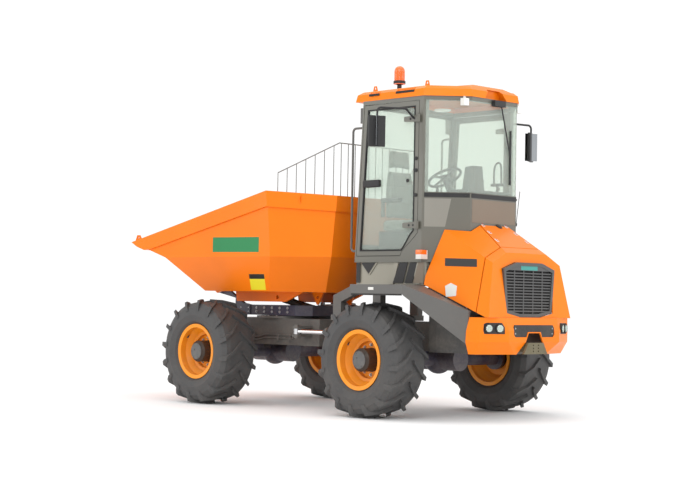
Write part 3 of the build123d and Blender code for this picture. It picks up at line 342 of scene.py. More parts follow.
def rim_finish(name, axle_x):
    made = coated(name, (0.97, 0.32, 0.008), rough=0.4, shine=0.1, dust=0.22, chips=0.35, specular=0.25)
    tree = made.node_tree
    surface = tree.nodes["Principled BSDF"]
    painted = surface.inputs["Base Color"].links[0].from_socket
    hub = ramp_of(tree, distance_in(made, axle_x), hub_radius - 0.0005, hub_radius + 0.0005, 1.0, 0.0)
    tree.links.new(mix_colour(tree, hub, painted, (0.05, 0.038, 0.03)), surface.inputs["Base Color"])
    return made


def tyre_finish(name, axle_x):
    made = coated(name, (0.06, 0.06, 0.061), rough=0.62, dust=0.42, earth=(0.2, 0.18, 0.16), grain=0.8,
                  **unpainted)
    tree = made.node_tree
    surface = tree.nodes["Principled BSDF"]
    bump = surface.inputs["Normal"].links[0].from_node
    distance = distance_in(made, axle_x)
    wave = math_node(tree, "SINE", times(tree, distance, 700))
    band = times(tree, ramp_of(tree, distance, 0.33, 0.335), ramp_of(tree, distance, 0.41, 0.405))
    height = plus(tree, bump.inputs["Height"].links[0].from_socket, times(tree, wave, band))
    tree.links.new(height, bump.inputs["Height"])
    bump.inputs["Strength"].default_value = 0.4
    return made


rims = {end: rim_finish("rim_orange_" + end, x) for end, x in axle_places.items()}
tyres = {end: tyre_finish("tyre_rubber_" + end, x) for end, x in axle_places.items()}
print("wheel finishes", sorted(m.name for m in (*rims.values(), *tyres.values())))


# %% [markdown]
# ## Glass and cloth
# The cab's panes are pale green safety glass: full transmission, a little colour, and
# hardly any roughness. The seat is woven cloth, drawn by two crossed waves. The waves
# stand in object coordinates, so the weave stays the same size over the whole seat.

# %% Clear and woven finishes
glass = bpy.data.materials.new("pale_green_glass")
glass.use_nodes = True
tree = glass.node_tree
pane = tree.nodes["Principled BSDF"]
pane.inputs["Transmission Weight"].default_value = 0.8
pane.inputs["IOR"].default_value = 1.02
pane.inputs["Metallic"].default_value = 0.0
film = tree.nodes.new("ShaderNodeGroup")
film.node_tree = weather
film.inputs["Dust"].default_value = 0.12
dust = film.outputs["Dust"]
tree.links.new(mix_colour(tree, dust, (0.86, 0.93, 0.87), (0.7, 0.72, 0.68)), pane.inputs["Base Color"])
tree.links.new(ramp_of(tree, dust, 0, 1, 0.0, 0.3), pane.inputs["Roughness"])

cloth = coated("seat_cloth", (0.27, 0.3, 0.27), rough=0.85, dust=0.15, variation=0.75, **unpainted)
tree = cloth.node_tree
where = tree.nodes.new("ShaderNodeTexCoord")
threads = []
for direction in ("X", "Y"):
    wave = tree.nodes.new("ShaderNodeTexWave")
    wave.bands_direction = direction
    wave.inputs["Scale"].default_value = 210
    tree.links.new(where.outputs["Object"], wave.inputs["Vector"])
    threads.append(wave.outputs["Fac"])
weave = math_node(tree, "MAXIMUM", *threads)
bump = tree.nodes["Principled BSDF"].inputs["Normal"].links[0].from_node
tree.links.new(weave, bump.inputs["Height"])
bump.inputs["Strength"].default_value = 0.5
tree.nodes["Principled BSDF"].inputs["Sheen Weight"].default_value = 0.4
print("glass and cloth ready")


# %% [markdown]
# ## Paint the CAD solids
# Each CAD node keeps its mesh. Only the material in its slots is changed here, from one
# list that says which finish each family of nodes has.

# %% Give every node its finish
coats = (
    (hood_orange, "hood_strip left_wing right_wing cowl bumper roof"),
    (moulded_black, "tail_panel tail_lamps left_mirror right_mirror seat_base console steering_wheel wiper"),
    (frame_grey, "front_frame rear_frame grab_rails tip_barrel left_steer_barrel right_steer_barrel"),
    (cab_grey, "cab_frame left_door right_door"),
    (glass, "cab_glass left_door_glass right_door_glass"),
    (axle_blue, "swivel_frame front_axle rear_axle"),
    (chrome, "tip_rod left_steer_rod right_steer_rod"),
    (skip_orange, "skip"), (guard_grey, "skip_guard"), (band_grey, "fenders"), (tank_grey, "side_tanks"),
    (grille_grey, "grille"), (hitch_olive, "hitch_plate"), (panel_beige, "cab_base"),
    (cloth, "seat_cushions"), (amber_lens, "beacon"), (blank_white, "work_lamps"),
    (engine_iron, "engine_block"),
)
finishes = {name: coat for coat, names in coats for name in names.split()}
for end in ("front", "rear"):
    for side, _ in flanks:
        finishes[f"{end}_{side}_tyre"] = tyres[end]
        finishes[f"{end}_{side}_rim"] = rims[end]
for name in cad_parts:
    solid = bpy.data.objects[name]
    if not solid.material_slots:
        solid.data.materials.append(finishes[name])
    for slot in solid.material_slots:
        slot.material = finishes[name]
print(len(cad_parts), "nodes painted")


# %% [markdown]
# ## Tools for small metal pieces
# Bolts, plates, tubes and rings come up everywhere. Each is a short helper round a
# bmesh operator: a cone for a bar or a hexagon head, a spin for a ring, an extruded and
# bevelled face for a plate. A finished piece is made from one bmesh, with its place in
# its mesh, its normals outward, and it rides on the body that carries it.

# %% Helpers for new pieces
up, rearward = (0, 0, 1), (-1, 0, 0)


def at(x, y, z):
    """A place given in the CAD's own X, moved to the row frame."""
    return Vector((x - middle_x, y, z))


def finish_piece(name, bm, material, body="rear_chassis", smooth=True):
    bmesh.ops.remove_doubles(bm, verts=bm.verts, dist=1e-6)
    bmesh.ops.recalc_face_normals(bm, faces=bm.faces)
    mesh = bpy.data.meshes.new(name)
    bm.to_mesh(mesh)
    bm.free()
    mesh.materials.append(material)
    if smooth:
        mesh.shade_smooth()
        mesh.set_sharp_from_angle(angle=math.radians(32))
    piece = linked(name, mesh)
    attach(piece, body)


def bar(bm, start, end, radius, sides=20):
    start, end = Vector(start), Vector(end)
    line = end - start
    matrix = Matrix.Translation((start + end) / 2) @ line.to_track_quat("Z", "Y").to_matrix().to_4x4()
    made = bmesh.ops.create_cone(bm, cap_ends=True, segments=sides, radius1=radius, radius2=radius,
                                 depth=line.length, matrix=matrix)
    return made["verts"]


def soften(bm, verts, width, segments=2):
    """Bevel the sharp edges at some vertices, in the order in which they are met."""
    edges = list(dict.fromkeys(e for v in verts for e in v.link_edges if e.calc_face_angle(0) > 0.5))
    bmesh.ops.bevel(bm, geom=edges, offset=width, segments=segments, profile=0.5, affect="EDGES",
                    material=-1)


def block(bm, low, high, width=0.004, segments=2):
    low, high = Vector(low), Vector(high)
    made = bmesh.ops.create_cube(bm, size=1)
    bmesh.ops.scale(bm, vec=high - low, verts=made["verts"])
    bmesh.ops.translate(bm, vec=(low + high) / 2, verts=made["verts"])
    soften(bm, made["verts"], width, segments)


def side_block(bm, sign, xs, ys, zs, width=0.004, segments=2):
    """A block on one side of the machine, its range in Y given as on the left."""
    low, high = sorted(sign * y for y in ys)
    block(bm, at(xs[0], low, zs[0]), at(xs[1], high, zs[1]), width, segments)


def flat_face(bm, corners):
    face = bm.faces.new([bm.verts.new(c) for c in corners])
    face.normal_update()
    return face


def raise_faces(bm, faces, rise):
    grown = bmesh.ops.extrude_face_region(bm, geom=faces)
    top = [v for v in grown["geom"] if isinstance(v, bmesh.types.BMVert)]
    bmesh.ops.translate(bm, vec=rise, verts=top)
    return top


def plate(bm, corners, depth, width=0.0015):
    """A thin plate from its corners, standing proud of them by its depth."""
    face = flat_face(bm, corners)
    soften(bm, raise_faces(bm, [face], face.normal * depth), width)


def flipped(points):
    return [Vector((p[0], -p[1], p[2])) for p in points]


def on_side(corners, sign):
    """The corners of a plate on the left, or their mirror image, in the order that faces outward."""
    return corners[::-1] if sign > 0 else flipped(corners)


def plate_pair(bm, corners, depth, width=0.0015):
    for _, sign in flanks:
        plate(bm, on_side(corners, sign), depth, width)


def hex_bolt(bm, place, out, radius, height=None):
    """A washer, a hexagon head and the bolt's end, stacked along the way out."""
    place, out = Vector(place), Vector(out).normalized()
    height = height or radius * 0.8
    bar(bm, place - out * 0.001, place + out * height * 0.3, radius * 1.35, 20)
    verts = bar(bm, place + out * height * 0.25, place + out * height, radius, 6)
    soften(bm, verts, radius * 0.12, 1)
    bar(bm, place + out * height * 0.9, place + out * height * 1.35, radius * 0.55, 12)


def ring(bm, centre, axis, profile, steps=48):
    """A closed outline of (radius, height) pairs spun once round an axis."""
    centre, axis = Vector(centre), Vector(axis).normalized()
    across = axis.orthogonal().normalized()
    verts = [bm.verts.new(centre + across * r + axis * h) for r, h in profile]
    edges = [bm.edges.new((a, b)) for a, b in zip(verts, verts[1:] + verts[:1])]
    bmesh.ops.spin(bm, geom=verts + edges, cent=centre, axis=axis, angle=math.tau, steps=steps,
                   use_merge=True)


def tube(bm, points, radius, sides=12):
    """A bent pipe through a few points, its corners rounded by a short curve."""
    curve = bpy.data.curves.new("pipe", "CURVE")
    curve.dimensions = "3D"
    curve.bevel_depth = radius
    curve.bevel_resolution = max(1, sides // 4 - 1)
    curve.use_fill_caps = True
    line = curve.splines.new("NURBS")
    line.points.add(len(points) - 1)
    for point, where in zip(line.points, points):
        point.co = (*where, 1)
    line.order_u = 3
    line.use_endpoint_u = True
    line.resolution_u = 8
    holder = bpy.data.objects.new("pipe", curve)
    mesh = bpy.data.meshes.new_from_object(holder)
    bm.from_mesh(mesh)
    bpy.data.meshes.remove(mesh)
    bpy.data.objects.remove(holder)
    bpy.data.curves.remove(curve)


def turns(count, start=0.0):
    """The angles of things spaced evenly round a circle."""
    return [math.tau * (index + start) / count for index in range(count)]


print("helpers ready")


# %% [markdown]
# ## Hub and rim fittings
# The planetary hub closes the deep dish with a bolted cover, and ten studs hold the
# rim's disc. They could be scattered by geometry nodes, but a wheel has only a few, so
# they are turned round the axle in a loop and joined to one piece per wheel.

# %% Hub covers, studs and valves
def spoke(angle):
    return Vector((math.cos(angle), 0, math.sin(angle)))


cover_profile = [(0, 0), (0.086, 0), (0.09, 0.004), (0.086, 0.01), (0.05, 0.0125), (0, 0.013)]
hub_out, disc_out = 0.182, 0.0105   # from the tyre's middle plane out to the hub's face and the rim's disc
cover_circle, stud_circle = 0.072, 0.153
valve = spoke(0.7)
for end, x in (("front", half_base), ("rear", -half_base)):
    for side, sign in flanks:
        name = f"{end}_{side}"
        centre, out = at(x, sign * half_track, axle_high), Vector((0, sign, 0))
        face, disc = centre + out * hub_out, centre + out * disc_out
        bm = bmesh.new()
        ring(bm, face, out, cover_profile)
        for angle in turns(6):
            hex_bolt(bm, face + spoke(angle) * cover_circle + out * 0.009, out, 0.0065)
        hex_bolt(bm, face + Vector((0.025, 0, 0.02)) + out * 0.0115, out, 0.009)
        finish_piece(name + "_hub_cover", bm, engine_iron, name + "_wheel")
        bm = bmesh.new()
        for angle in turns(10, 0.5):
            hex_bolt(bm, disc + spoke(angle) * stud_circle, out, 0.013, 0.016)
        finish_piece(name + "_wheel_nuts", bm, zinc, name + "_wheel")
        bm = bmesh.new()
        bar(bm, centre + out * 0.13 + valve * 0.262, centre + out * 0.16 + valve * 0.236, 0.006)
        bar(bm, centre + out * 0.155 + valve * 0.241, centre + out * 0.172 + valve * 0.227, 0.0085)
        finish_piece(name + "_valve", bm, moulded_black, body=name + "_wheel")
print("four hubs dressed")


# %% [markdown]
# ## Lamps
# Each rear corner has two round lamps sunk in a black housing, the roof has square work
# lamps, and the amber beacon stands on its stalk. A lamp reads as glass when its lens
# domes a little over a bright ring, so each rear lamp has a bezel and a spun lens.

# %% Twin rear lamps
lamp_start, lamp_end, lamp_high = at(-2.552, 0.4, 0), at(-2.431, 0.693, 0), 0.925
lamp_line = (lamp_end - lamp_start).normalized()
bezel_profile = [(0.0445, -0.014), (0.0445, 0.002), (0.041, 0.0045), (0.035, 0.001), (0.035, -0.002)]
core_profile = [(0, 0), (0.034, 0), (0.034, 0.002), (0.028, 0.0005), (0.012, 0.0005), (0, 0.001)]
lens_profile = [(0, 0.0012), (0.0345, 0.0012), (0.0335, 0.0032), (0.02, 0.0052), (0, 0.006)]
for side, sign in flanks:
    out = Vector((-lamp_line.y, lamp_line.x * sign, 0))
    faces = []
    for share in (0.32, 0.70):
        spot = lamp_start.lerp(lamp_end, share) + Vector((0, 0, lamp_high))
        spot.y *= sign
        faces.append(spot + out * 0.0102)
    for name, profile, material, slot in (
        ("lamp_bezels_", bezel_profile, moulded_black, "black_plastic"),
        ("lamp_cores_", core_profile, chrome, "lamp_lens"),
        ("lamp_lenses_", lens_profile, glass, "lamp_lens"),
    ):
        bm = bmesh.new()
        for face in faces:
            ring(bm, face, out, profile)
        finish_piece(name + side, bm, material)
print("rear lamps fitted")

# %% Work lamps, indicators and the beacon's foot and ribs
work_lens = [at(-1.98, y, z) for y, z in ((0.389, 3.162), (0.451, 3.162), (0.451, 3.227), (0.389, 3.227))]
for side, sign in flanks:
    bm = bmesh.new()
    plate(bm, on_side(work_lens, sign), 0.0015)
    finish_piece("work_lens_" + side, bm, lamp_lens)
    bm = bmesh.new()
    side_block(bm, sign, (-1.7218, -1.6482), (0.7, 0.7868), (1.646, 1.6918), 0.003)
    finish_piece("signal_amber_" + side, bm, amber_lens)
beacon_spot = at(-1.06, 0.44, 3.361)
bm = bmesh.new()
ring(bm, beacon_spot, up, [(0, 0), (0.05, 0), (0.05, 0.006), (0.025, 0.014), (0.0235, 0.078),
                           (0.045, 0.082), (0.0635, 0.088), (0.0635, 0.116), (0.058, 0.12), (0, 0.12)])
finish_piece("beacon_foot", bm, moulded_black)
bm = bmesh.new()
for index in range(8):
    z = 0.124 + index * 0.0125
    ring(bm, beacon_spot, up, [(0.0545, z), (0.0572, z + 0.003), (0.0572, z + 0.007), (0.0545, z + 0.01)], 40)
finish_piece("beacon_ribs", bm, amber_lens)
print("lamps on the cab fitted")


# %% [markdown]
# ## Blank plates
# The real machine carries plates and stickers. Here each keeps its place, size and
# colour, and is left bare. They are thin bevelled plates, laid a hair above the sheet.

# %% Plates on the skip, the wings and the grille
skip_strip = [at(x, 1.0602, z) for x, z in ((1.178, 1.85), (0.406, 1.842), (0.406, 1.679), (1.178, 1.686))]
label = [at(0.682, 0.9513, 1.444), at(0.435, 0.9513, 1.444),
         at(0.51, 0.8495, 1.271), at(0.755, 0.8495, 1.271)]
label_out = Vector((0, 0.8617, -0.5075))
header = [p + label_out * 0.0014
          for p in (label[0], label[1], label[1].lerp(label[2], 0.3), label[0].lerp(label[3], 0.3))]
for name, corners, depth, width, finish, slot in (
    ("skip_plates", skip_strip, 0.0015, 0.0015, blank_green, "skip_paint"),
    ("skip_labels", label, 0.0012, 0.0015, blank_yellow, "skip_paint"),
    ("skip_label_headers", header, 0.0008, 0.0004, blank_black, "black_plastic"),
):
    bm = bmesh.new()
    plate_pair(bm, corners, depth, width)
    finish_piece(name, bm, finish, "skip_body", smooth=False)

name_strip = [at(-1.892, 0.614, 1.613), at(-2.259, 0.554, 1.603),
              at(-2.275, 0.57, 1.524), at(-1.908, 0.631, 1.533)]
badge = [at(-1.949, 0.671, 1.333), at(-2.011, 0.653, 1.364), at(-2.086, 0.648, 1.334),
         at(-2.094, 0.67, 1.235), at(-1.982, 0.692, 1.224)]
for side, sign in flanks:
    for name, corners, finish in (("name_strip_", name_strip, blank_black), ("badge_", badge, blank_white)):
        bm = bmesh.new()
        plate(bm, on_side(corners, sign), 0.002)
        finish_piece(name + side, bm, finish, body=side + "_wing_body", smooth=False)
bm = bmesh.new()
plate(bm, [at(-2.4755, y, z) for y, z in ((0.13, 1.55), (-0.13, 1.55), (-0.13, 1.505), (0.13, 1.505))], 0.002)
finish_piece("grille_badge", bm, blank_teal, smooth=False)
print("blank plates laid")


# %% [markdown]
# ## Seat
# The seat's three pads are padded foam in woven cloth. Each starts as a rounded box a
# little smaller than its solid, is remeshed to even faces, and is blown up by the cloth
# solver with its travel capped, so that the sides pull in and the middle crowns. The
# sewn channels are pressed in afterwards, because remeshing would rub them out.

# %% Blow up the pads
driver_y, give = 0.25, 0.012   # the seat's middle line, and the room that a pad has to swell into


def pad(name, xs, zs, half, lean, narrow=0.0):
    """A crowned pad, leaning and narrowing by the given amounts at its top."""
    low, high = at(xs[0], driver_y - half, zs[0]), at(xs[1], driver_y + half, zs[1])
    inset = Vector((give, give, give))
    bm = bmesh.new()
    block(bm, low + inset, high - inset, give * 1.6, 4)
    bmesh.ops.subdivide_edges(bm, edges=bm.edges[:], cuts=5, use_grid_fill=True)
    for vert in bm.verts:
        share = (vert.co.z - low.z) / (high.z - low.z)
        vert.co.x += lean * share
        vert.co.y = driver_y + (vert.co.y - driver_y) * (1 - narrow * share ** 3)
    bmesh.ops.recalc_face_normals(bm, faces=bm.faces)
    mesh = bpy.data.meshes.new(name)
    bm.to_mesh(mesh)
    bm.free()
    piece = linked(name, mesh)
    even = piece.modifiers.new("even", "REMESH")
    even.mode = "VOXEL"
    even.voxel_size = 0.008
    graph = bpy.context.evaluated_depsgraph_get()
    piece.data = bpy.data.meshes.new_from_object(piece.evaluated_get(graph))
    piece.modifiers.clear()
    start = [v.co.copy() for v in piece.data.vertices]
    solver = piece.modifiers.new("cloth", "CLOTH").settings
    solver.use_pressure = True
    solver.uniform_pressure_force = 4
    solver.effector_weights.gravity = 0
    scene = bpy.context.scene
    for number in range(1, 15):
        scene.frame_set(number)
    graph = bpy.context.evaluated_depsgraph_get()
    piece.data = bpy.data.meshes.new_from_object(piece.evaluated_get(graph))
    piece.modifiers.clear()
    scene.frame_set(1)
    cap = give * 0.95
    for vert, was in zip(piece.data.vertices, start):
        move = vert.co - was
        if move.length > cap:
            vert.co = was + move.normalized() * cap
    piece.data.materials.clear()
    piece.data.materials.append(cloth)
    piece.data.shade_smooth()
    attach(piece, "rear_chassis")
    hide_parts("seat_cushions")
    return piece


seat_pad = pad("seat_pad", (-1.32, -0.87), (1.903, 2.022), 0.245, 0)
back_pad = pad("back_pad", (-0.985, -0.9), (2.03, 2.56), 0.23, 0.045, 0.3)
head_pad = pad("head_pad", (-0.935, -0.865), (2.565, 2.78), 0.165, 0.012, 0.22)
print("pads:", [len(p.data.vertices) for p in (seat_pad, back_pad, head_pad)])


# %% Sewn channels and head posts
def press_channels(piece, axis, lines, depth, reach=0.012):
    for vert in piece.data.vertices:
        away = min(abs(vert.co[axis] - line) for line in lines)
        if away < reach:
            vert.co -= vert.normal * depth * (1 - away / reach) ** 2


seams = (driver_y - 0.13, driver_y + 0.13)
press_channels(seat_pad, 1, seams, 0.006)
press_channels(back_pad, 1, seams, 0.006)
press_channels(back_pad, 2, (2.2, 2.38), 0.005)
bm = bmesh.new()
for y in (driver_y - 0.05, driver_y + 0.05):
    tube(bm, [at(-0.9, y, 2.54), at(-0.893, y, 2.63)], 0.008)
finish_piece("head_posts", bm, chrome)
print("seat sewn")


# %% [markdown]
# ## Cab fittings
# Rubber runs round the pane of each door, the door hangs on two wide hinge plates, and
# the mirrors need their silvered glass. A strip of rubber follows an outline as a thin
# frame, made by insetting one face and keeping its rim.

# %% Rubber, knobs, hinge bolts, edges and handles of the doors
def framed(bm, corners, width, depth):
    """The rim of a flat outline, as a raised strip."""
    face = flat_face(bm, corners)
    rise = face.normal * depth
    bmesh.ops.inset_region(bm, faces=[face], thickness=width, use_boundary=True, use_even_offset=True)
    bmesh.ops.delete(bm, geom=[face], context="FACES_ONLY")
    raise_faces(bm, list(bm.faces), rise)


def door_outline(y, sign):
    corners = ((-0.79, 1.686), (-0.877, 3.159), (-1.554, 3.159), (-1.554, 1.888), (-1.504, 1.838),
               (-1.417, 1.718), (-1.386, 1.686))
    return on_side([at(x, y, z) for x, z in corners], sign)


knob_profile = [(0, 0), (0.019, 0), (0.019, 0.008), (0.013, 0.013), (0, 0.014)]
for side, sign in flanks:
    door, out = side + "_door_body", (0, sign, 0)
    bm = bmesh.new()
    framed(bm, door_outline(0.6985, sign), 0.012, 0.006)
    finish_piece("door_rubber_" + side, bm, gasket_black, body=door)
    bm = bmesh.new()
    for x, z in ((-1.575, 2.62), (-1.575, 2.5), (-1.46, 2.4), (-1.575, 2.25)):
        ring(bm, at(x, sign * 0.7155, z), out, knob_profile, 24)
    finish_piece("door_knobs_" + side, bm, moulded_black, body=door)
    bm = bmesh.new()
    for z in (1.945, 3.025):
        for x in (-1.56, -1.5):
            hex_bolt(bm, at(x, sign * 0.733, z), out, 0.009)
    finish_piece("hinge_bolts_" + side, bm, moulded_black, body=door)
    bm = bmesh.new()
    framed(bm, door_outline(0.7153, sign), 0.016, 0.0025)
    finish_piece("door_edge_" + side, bm, gasket_black, body=door)
    bm = bmesh.new()
    side_block(bm, sign, (-1.0905, -0.8525), (0.716, 0.7575), (2.3465, 2.4235), 0.012, 3)
    finish_piece("door_handle_" + side, bm, moulded_black, body=door)
print("doors dressed")

# %% Belt, panels and painted recess shade on the cab's lower half
rear_x, corner_y = -2.0, 0.36    # where the cab's flat rear ends and its slanted corner begins
slant_x, slant_y = 0.34, 0.355   # how far the corner runs forward and outward
face_x, face_y = -0.722, 0.692   # the way that it faces
lift = 0.0006                    # how far a panel's foot stands off the sheet


def on_corner(share, z, proud=lift):
    """A point on the slanted left rear corner of the cab, from its rear edge to the pillar."""
    return at(rear_x + slant_x * share + face_x * proud, corner_y + slant_y * share + face_y * proud, z)


def on_rear(half, low, high):
    return [at(rear_x - lift, y, z) for y, z in ((-half, high), (half, high), (half, low), (-half, low))]


bare_panel = coated("bare_panel", (0.26, 0.25, 0.215), rough=0.5, shine=0.1, dust=0.25, chips=0.3)
# A darker brown copy of the bare panel's colour, which paints shade. The rear panel and the base panels take
# it.
brown_panel = coated("brown_panel", (0.21, 0.165, 0.12), rough=0.5, shine=0.1, dust=0.25, chips=0.3)
belt_low, belt_high = 2.228, 2.272
bm = bmesh.new()
plate(bm, on_rear(0.352, belt_low, belt_high), 0.004)
plate_pair(bm, [on_corner(share, z) for share, z in (
    (0.02, belt_high), (0.96, belt_high), (0.96, belt_low), (0.02, belt_low))], 0.004)
for share in (0.1, 0.5, 0.9):
    spot = on_corner(share, (belt_low + belt_high) / 2, 0.005)
    for _, sign in flanks:
        hex_bolt(bm, (spot.x, sign * spot.y, spot.z), (face_x, sign * face_y, 0), 0.008)
finish_piece("cab_belt", bm, moulded_black, smooth=False)
# The rear panel takes the darker copy: painted shade on the cab's flat rear face.
bm = bmesh.new()
plate(bm, on_rear(0.34, 1.98, 2.215), 0.002)
finish_piece("rear_panel", bm, brown_panel, smooth=False)
bm = bmesh.new()
plate_pair(bm, [on_corner(share, z) for share, z in (
    (0.4, 2.215), (0.95, 2.215), (0.95, 1.93), (0.52, 1.93))], 0.002)
finish_piece("corner_panels", bm, bare_panel, smooth=False)

base_y, base_low, base_high = 0.7042, 1.36, 1.568
# Flat black plates on the base's side, which paint the shade inside its recesses.
recess_shades = (
    ((-0.805, base_high), (-1.011, base_high), (-0.913, 1.454)),
    ((-1.355, base_high), (-1.47, base_high), (-1.405, base_low), (-1.262, base_low)),
    ((-1.497, base_high), (-1.596, base_high), (-1.536, base_low), (-1.427, base_low)),
    ((-0.735, base_high), (-0.79, base_high), (-0.79, base_low), (-0.735, base_low)),
)
panels = (((-1.612, base_high), (-1.688, base_high), (-1.688, base_low), (-1.545, base_low)),)
for name, shapes, finish, slot in (("base_recess_shades", recess_shades, moulded_black, "black_plastic"),
                                   ("base_panels", panels, brown_panel, "cab_paint")):
    bm = bmesh.new()
    for shape in shapes:
        plate_pair(bm, [at(x, base_y, z) for x, z in shape], 0.0012, 0.0005)
    finish_piece(name, bm, finish, smooth=False)

vent_low, vent_high = (0.7178, 3.301), (0.7133, 3.325)
bm = bmesh.new()
for start, end in ((-0.885, -1.035), (-1.27, -1.53)):
    plate_pair(bm, [at(start, *vent_low), at(end, *vent_low), at(end, *vent_high), at(start, *vent_high)],
               0.0022, 0.001)
finish_piece("roof_vents", bm, gasket_black, smooth=False)
print("cab panels laid")

# %% Mirror glass
mirror_x, half_wide, half_tall = {"left": -1.381, "right": -1.585}, 0.072, 0.15
for side, sign in flanks:
    lean = math.radians(28) * sign
    across = Vector((-math.sin(lean), math.cos(lean), 0)) * half_wide
    out = Vector((-math.cos(lean), -math.sin(lean), 0))
    middle = at(mirror_x[side], sign * 1.1, 2.876) + out * 0.0182
    rise = Vector((0, 0, half_tall))
    bm = bmesh.new()
    plate(bm, [middle + across * a + rise * b for a, b in ((1, -1), (1, 1), (-1, 1), (-1, -1))], 0.0016)
    finish_piece("mirror_glass_" + side, bm, mirror_silver, side + "_door_body", smooth=False)
print("mirrors silvered")


# %% [markdown]
# ## Hood fittings
# The two wings hang from the centre strip on small hinges, and a round cap with a ribbed
# edge closes the filler.

# %% Hinges and cap
strip_front, strip_rear = at(-1.93, 0.198, 2.015), at(-2.44, 0.32, 1.668)
strip_run, strip_up = Vector((-0.51, 0, -0.347)).normalized(), Vector((-0.5625, 0, 0.8268))
for side, sign in flanks:
    bm, marks = bmesh.new(), bmesh.new()
    for share in (0.16, 0.38, 0.62):
        spot = strip_front.lerp(strip_rear, share) - Vector((0, 0.035, 0))
        corners = [spot + strip_run * 0.024 * a + Vector((0, 0.017 * b, 0))
                   for a, b in ((-1, -1), (1, -1), (1, 1), (-1, 1))]
        plate(bm, on_side(corners, sign), 0.004)
        spot.y *= sign
        for step in (0.012, -0.012):
            hex_bolt(marks, spot + strip_up * 0.004 + strip_run * step, strip_up, 0.0055)
    # The hinge plates are white for a painted sunlit highlight, and their bolts deep red for painted shade.
    finish_piece("hood_hinges_" + side, bm, blank_white)
    finish_piece("hood_hinge_bolts_" + side, marks, red_mark)
cap_spot, cap_radius = at(-2.022, -0.06, 1.9525), 0.034
bm = bmesh.new()
ring(bm, cap_spot, strip_up, [(0, -0.004), (cap_radius, -0.004), (cap_radius, 0.006), (0.028, 0.011),
                              (0, 0.012)], 32)
for angle in turns(12):
    aside = Vector((0, 1, 0)) * math.cos(angle) + strip_up.cross(Vector((0, 1, 0))) * math.sin(angle)
    foot = cap_spot + aside * cap_radius
    bar(bm, foot, foot + strip_up * 0.006, 0.003, 8)
finish_piece("filler_cap", bm, moulded_black)
print("hood fittings done")


# %% [markdown]
# ## Grille mesh
# Behind the slats the real grille has a fine dark mesh, and behind that lies shade. Thin
# upright wires stand behind the slats, each as long as the opening is tall at its place,
# and a dark plate of the opening's own outline paints that shade and closes the view.

# %% Weave the grille's mesh and paint the shade behind it
def opening_low(y):
    return 1.045 + 0.2 * max(0, abs(y) - 0.16)


def opening_high(y):
    return 1.568 - 0.32 * max(0, abs(y) - 0.2)


wire_pitch, wire_half = 0.0205, 0.0012
bm = bmesh.new()
for index in range(-17, 18):
    y = index * wire_pitch
    block(bm, (-2.4955, y - wire_half, opening_low(y)), (-2.493, y + wire_half, opening_high(y)), 0.0004, 1)
finish_piece("grille_mesh", bm, moulded_black, smooth=False)
# A black plate in the opening's outline paints the shade behind the mesh.
outline = [(0.155, 1.04), (0.358, 1.08), (0.395, 1.508), (0.195, 1.572)]
outline += [(-y, z) for y, z in reversed(outline)]
bm = bmesh.new()
plate(bm, [Vector((-2.488, y, z)) for y, z in reversed(outline)], 0.002)
finish_piece("grille_backing", bm, gasket_black, smooth=False)
print("grille mesh woven")


# %% [markdown]
# ## Hood gasket and fender lips
# A rubber bead fills the gap between the hood and the cab, and it follows the front edge
# of the wings from the strip down to the fender. A bead reads best as a thin tube that
# stands just inside the sheet's edge. A flat rubber lip runs along each fender.

# %% Beads round the hood and the fender lips
hood_edge = [(-2.0425, 0.0, 1.951), (-2.0425, 0.217, 1.951), (-2.0425, 0.362, 1.884), (-1.9635, 0.444, 1.893),
             (-1.8605, 0.55, 1.897), (-1.73, 0.684, 1.43), (-1.7285, 0.703, 1.35)]
for side, sign in flanks:
    bm = bmesh.new()
    tube(bm, [(x, sign * y, z) for x, y, z in hood_edge], 0.0055, 8)
    finish_piece("hood_gasket_" + side, bm, gasket_black)
    bm = bmesh.new()
    side_block(bm, sign, (-1.8485, -1.1535), (1.186, 1.1975), (1.2285, 1.2455), 0.003)
    finish_piece("fender_lip_" + side, bm, gasket_black)
print("beads and lips laid")


# %% [markdown]
# ## Bolts and pipes on the chassis
# The slew ring is held by a circle of bolts, of which only those outside the swivel
# frame's plates are seen. Two rows more run along its flanks, and steel pipes carry oil
# along the front frame.

# %% Ring bolts and pipes
swivel_x, bolt_circle, covered_y = 0.9, 0.452, 0.41
bm = bmesh.new()
for angle in turns(24):
    spot = at(swivel_x + bolt_circle * math.cos(angle), bolt_circle * math.sin(angle), 0.986)
    if abs(spot.y) >= covered_y:
        hex_bolt(bm, spot, up, 0.009, 0.005)
for _, sign in flanks:
    for index in range(7):
        for z in (1.03, 1.075):
            hex_bolt(bm, at(0.6 + index * 0.13, sign * 0.44, z), (0, sign, 0), 0.012)
finish_piece("turntable_bolts", bm, zinc, "turntable")
bm = bmesh.new()
for _, sign in flanks:
    for high in (0.74, 0.775):
        low = high - 0.03
        path = ((0.5, 0.428, high), (0.8, 0.428, high), (1.0, 0.43, high), (1.06, 0.43, low),
                (1.2, 0.43, low))
        tube(bm, [at(x, sign * y, z) for x, y, z in path], 0.008)
    for x in (0.55, 0.75, 1.15):
        side_block(bm, sign, (x, x + 0.03), (0.414, 0.434), (0.7, 0.79), 0.002)
finish_piece("frame_pipes", bm, frame_grey, "front_chassis")
print("bolts and pipes done")


# %% [markdown]
# ## Under the hood
# The wings open, so the engine gets what a mechanic would look for: an air cleaner, a
# muffler, a belt with its pulleys, hoses, an oil filter and bolts. They are built from
# rings spun round an axis and from bent tubes, and all stay clear of the wings' sweep.

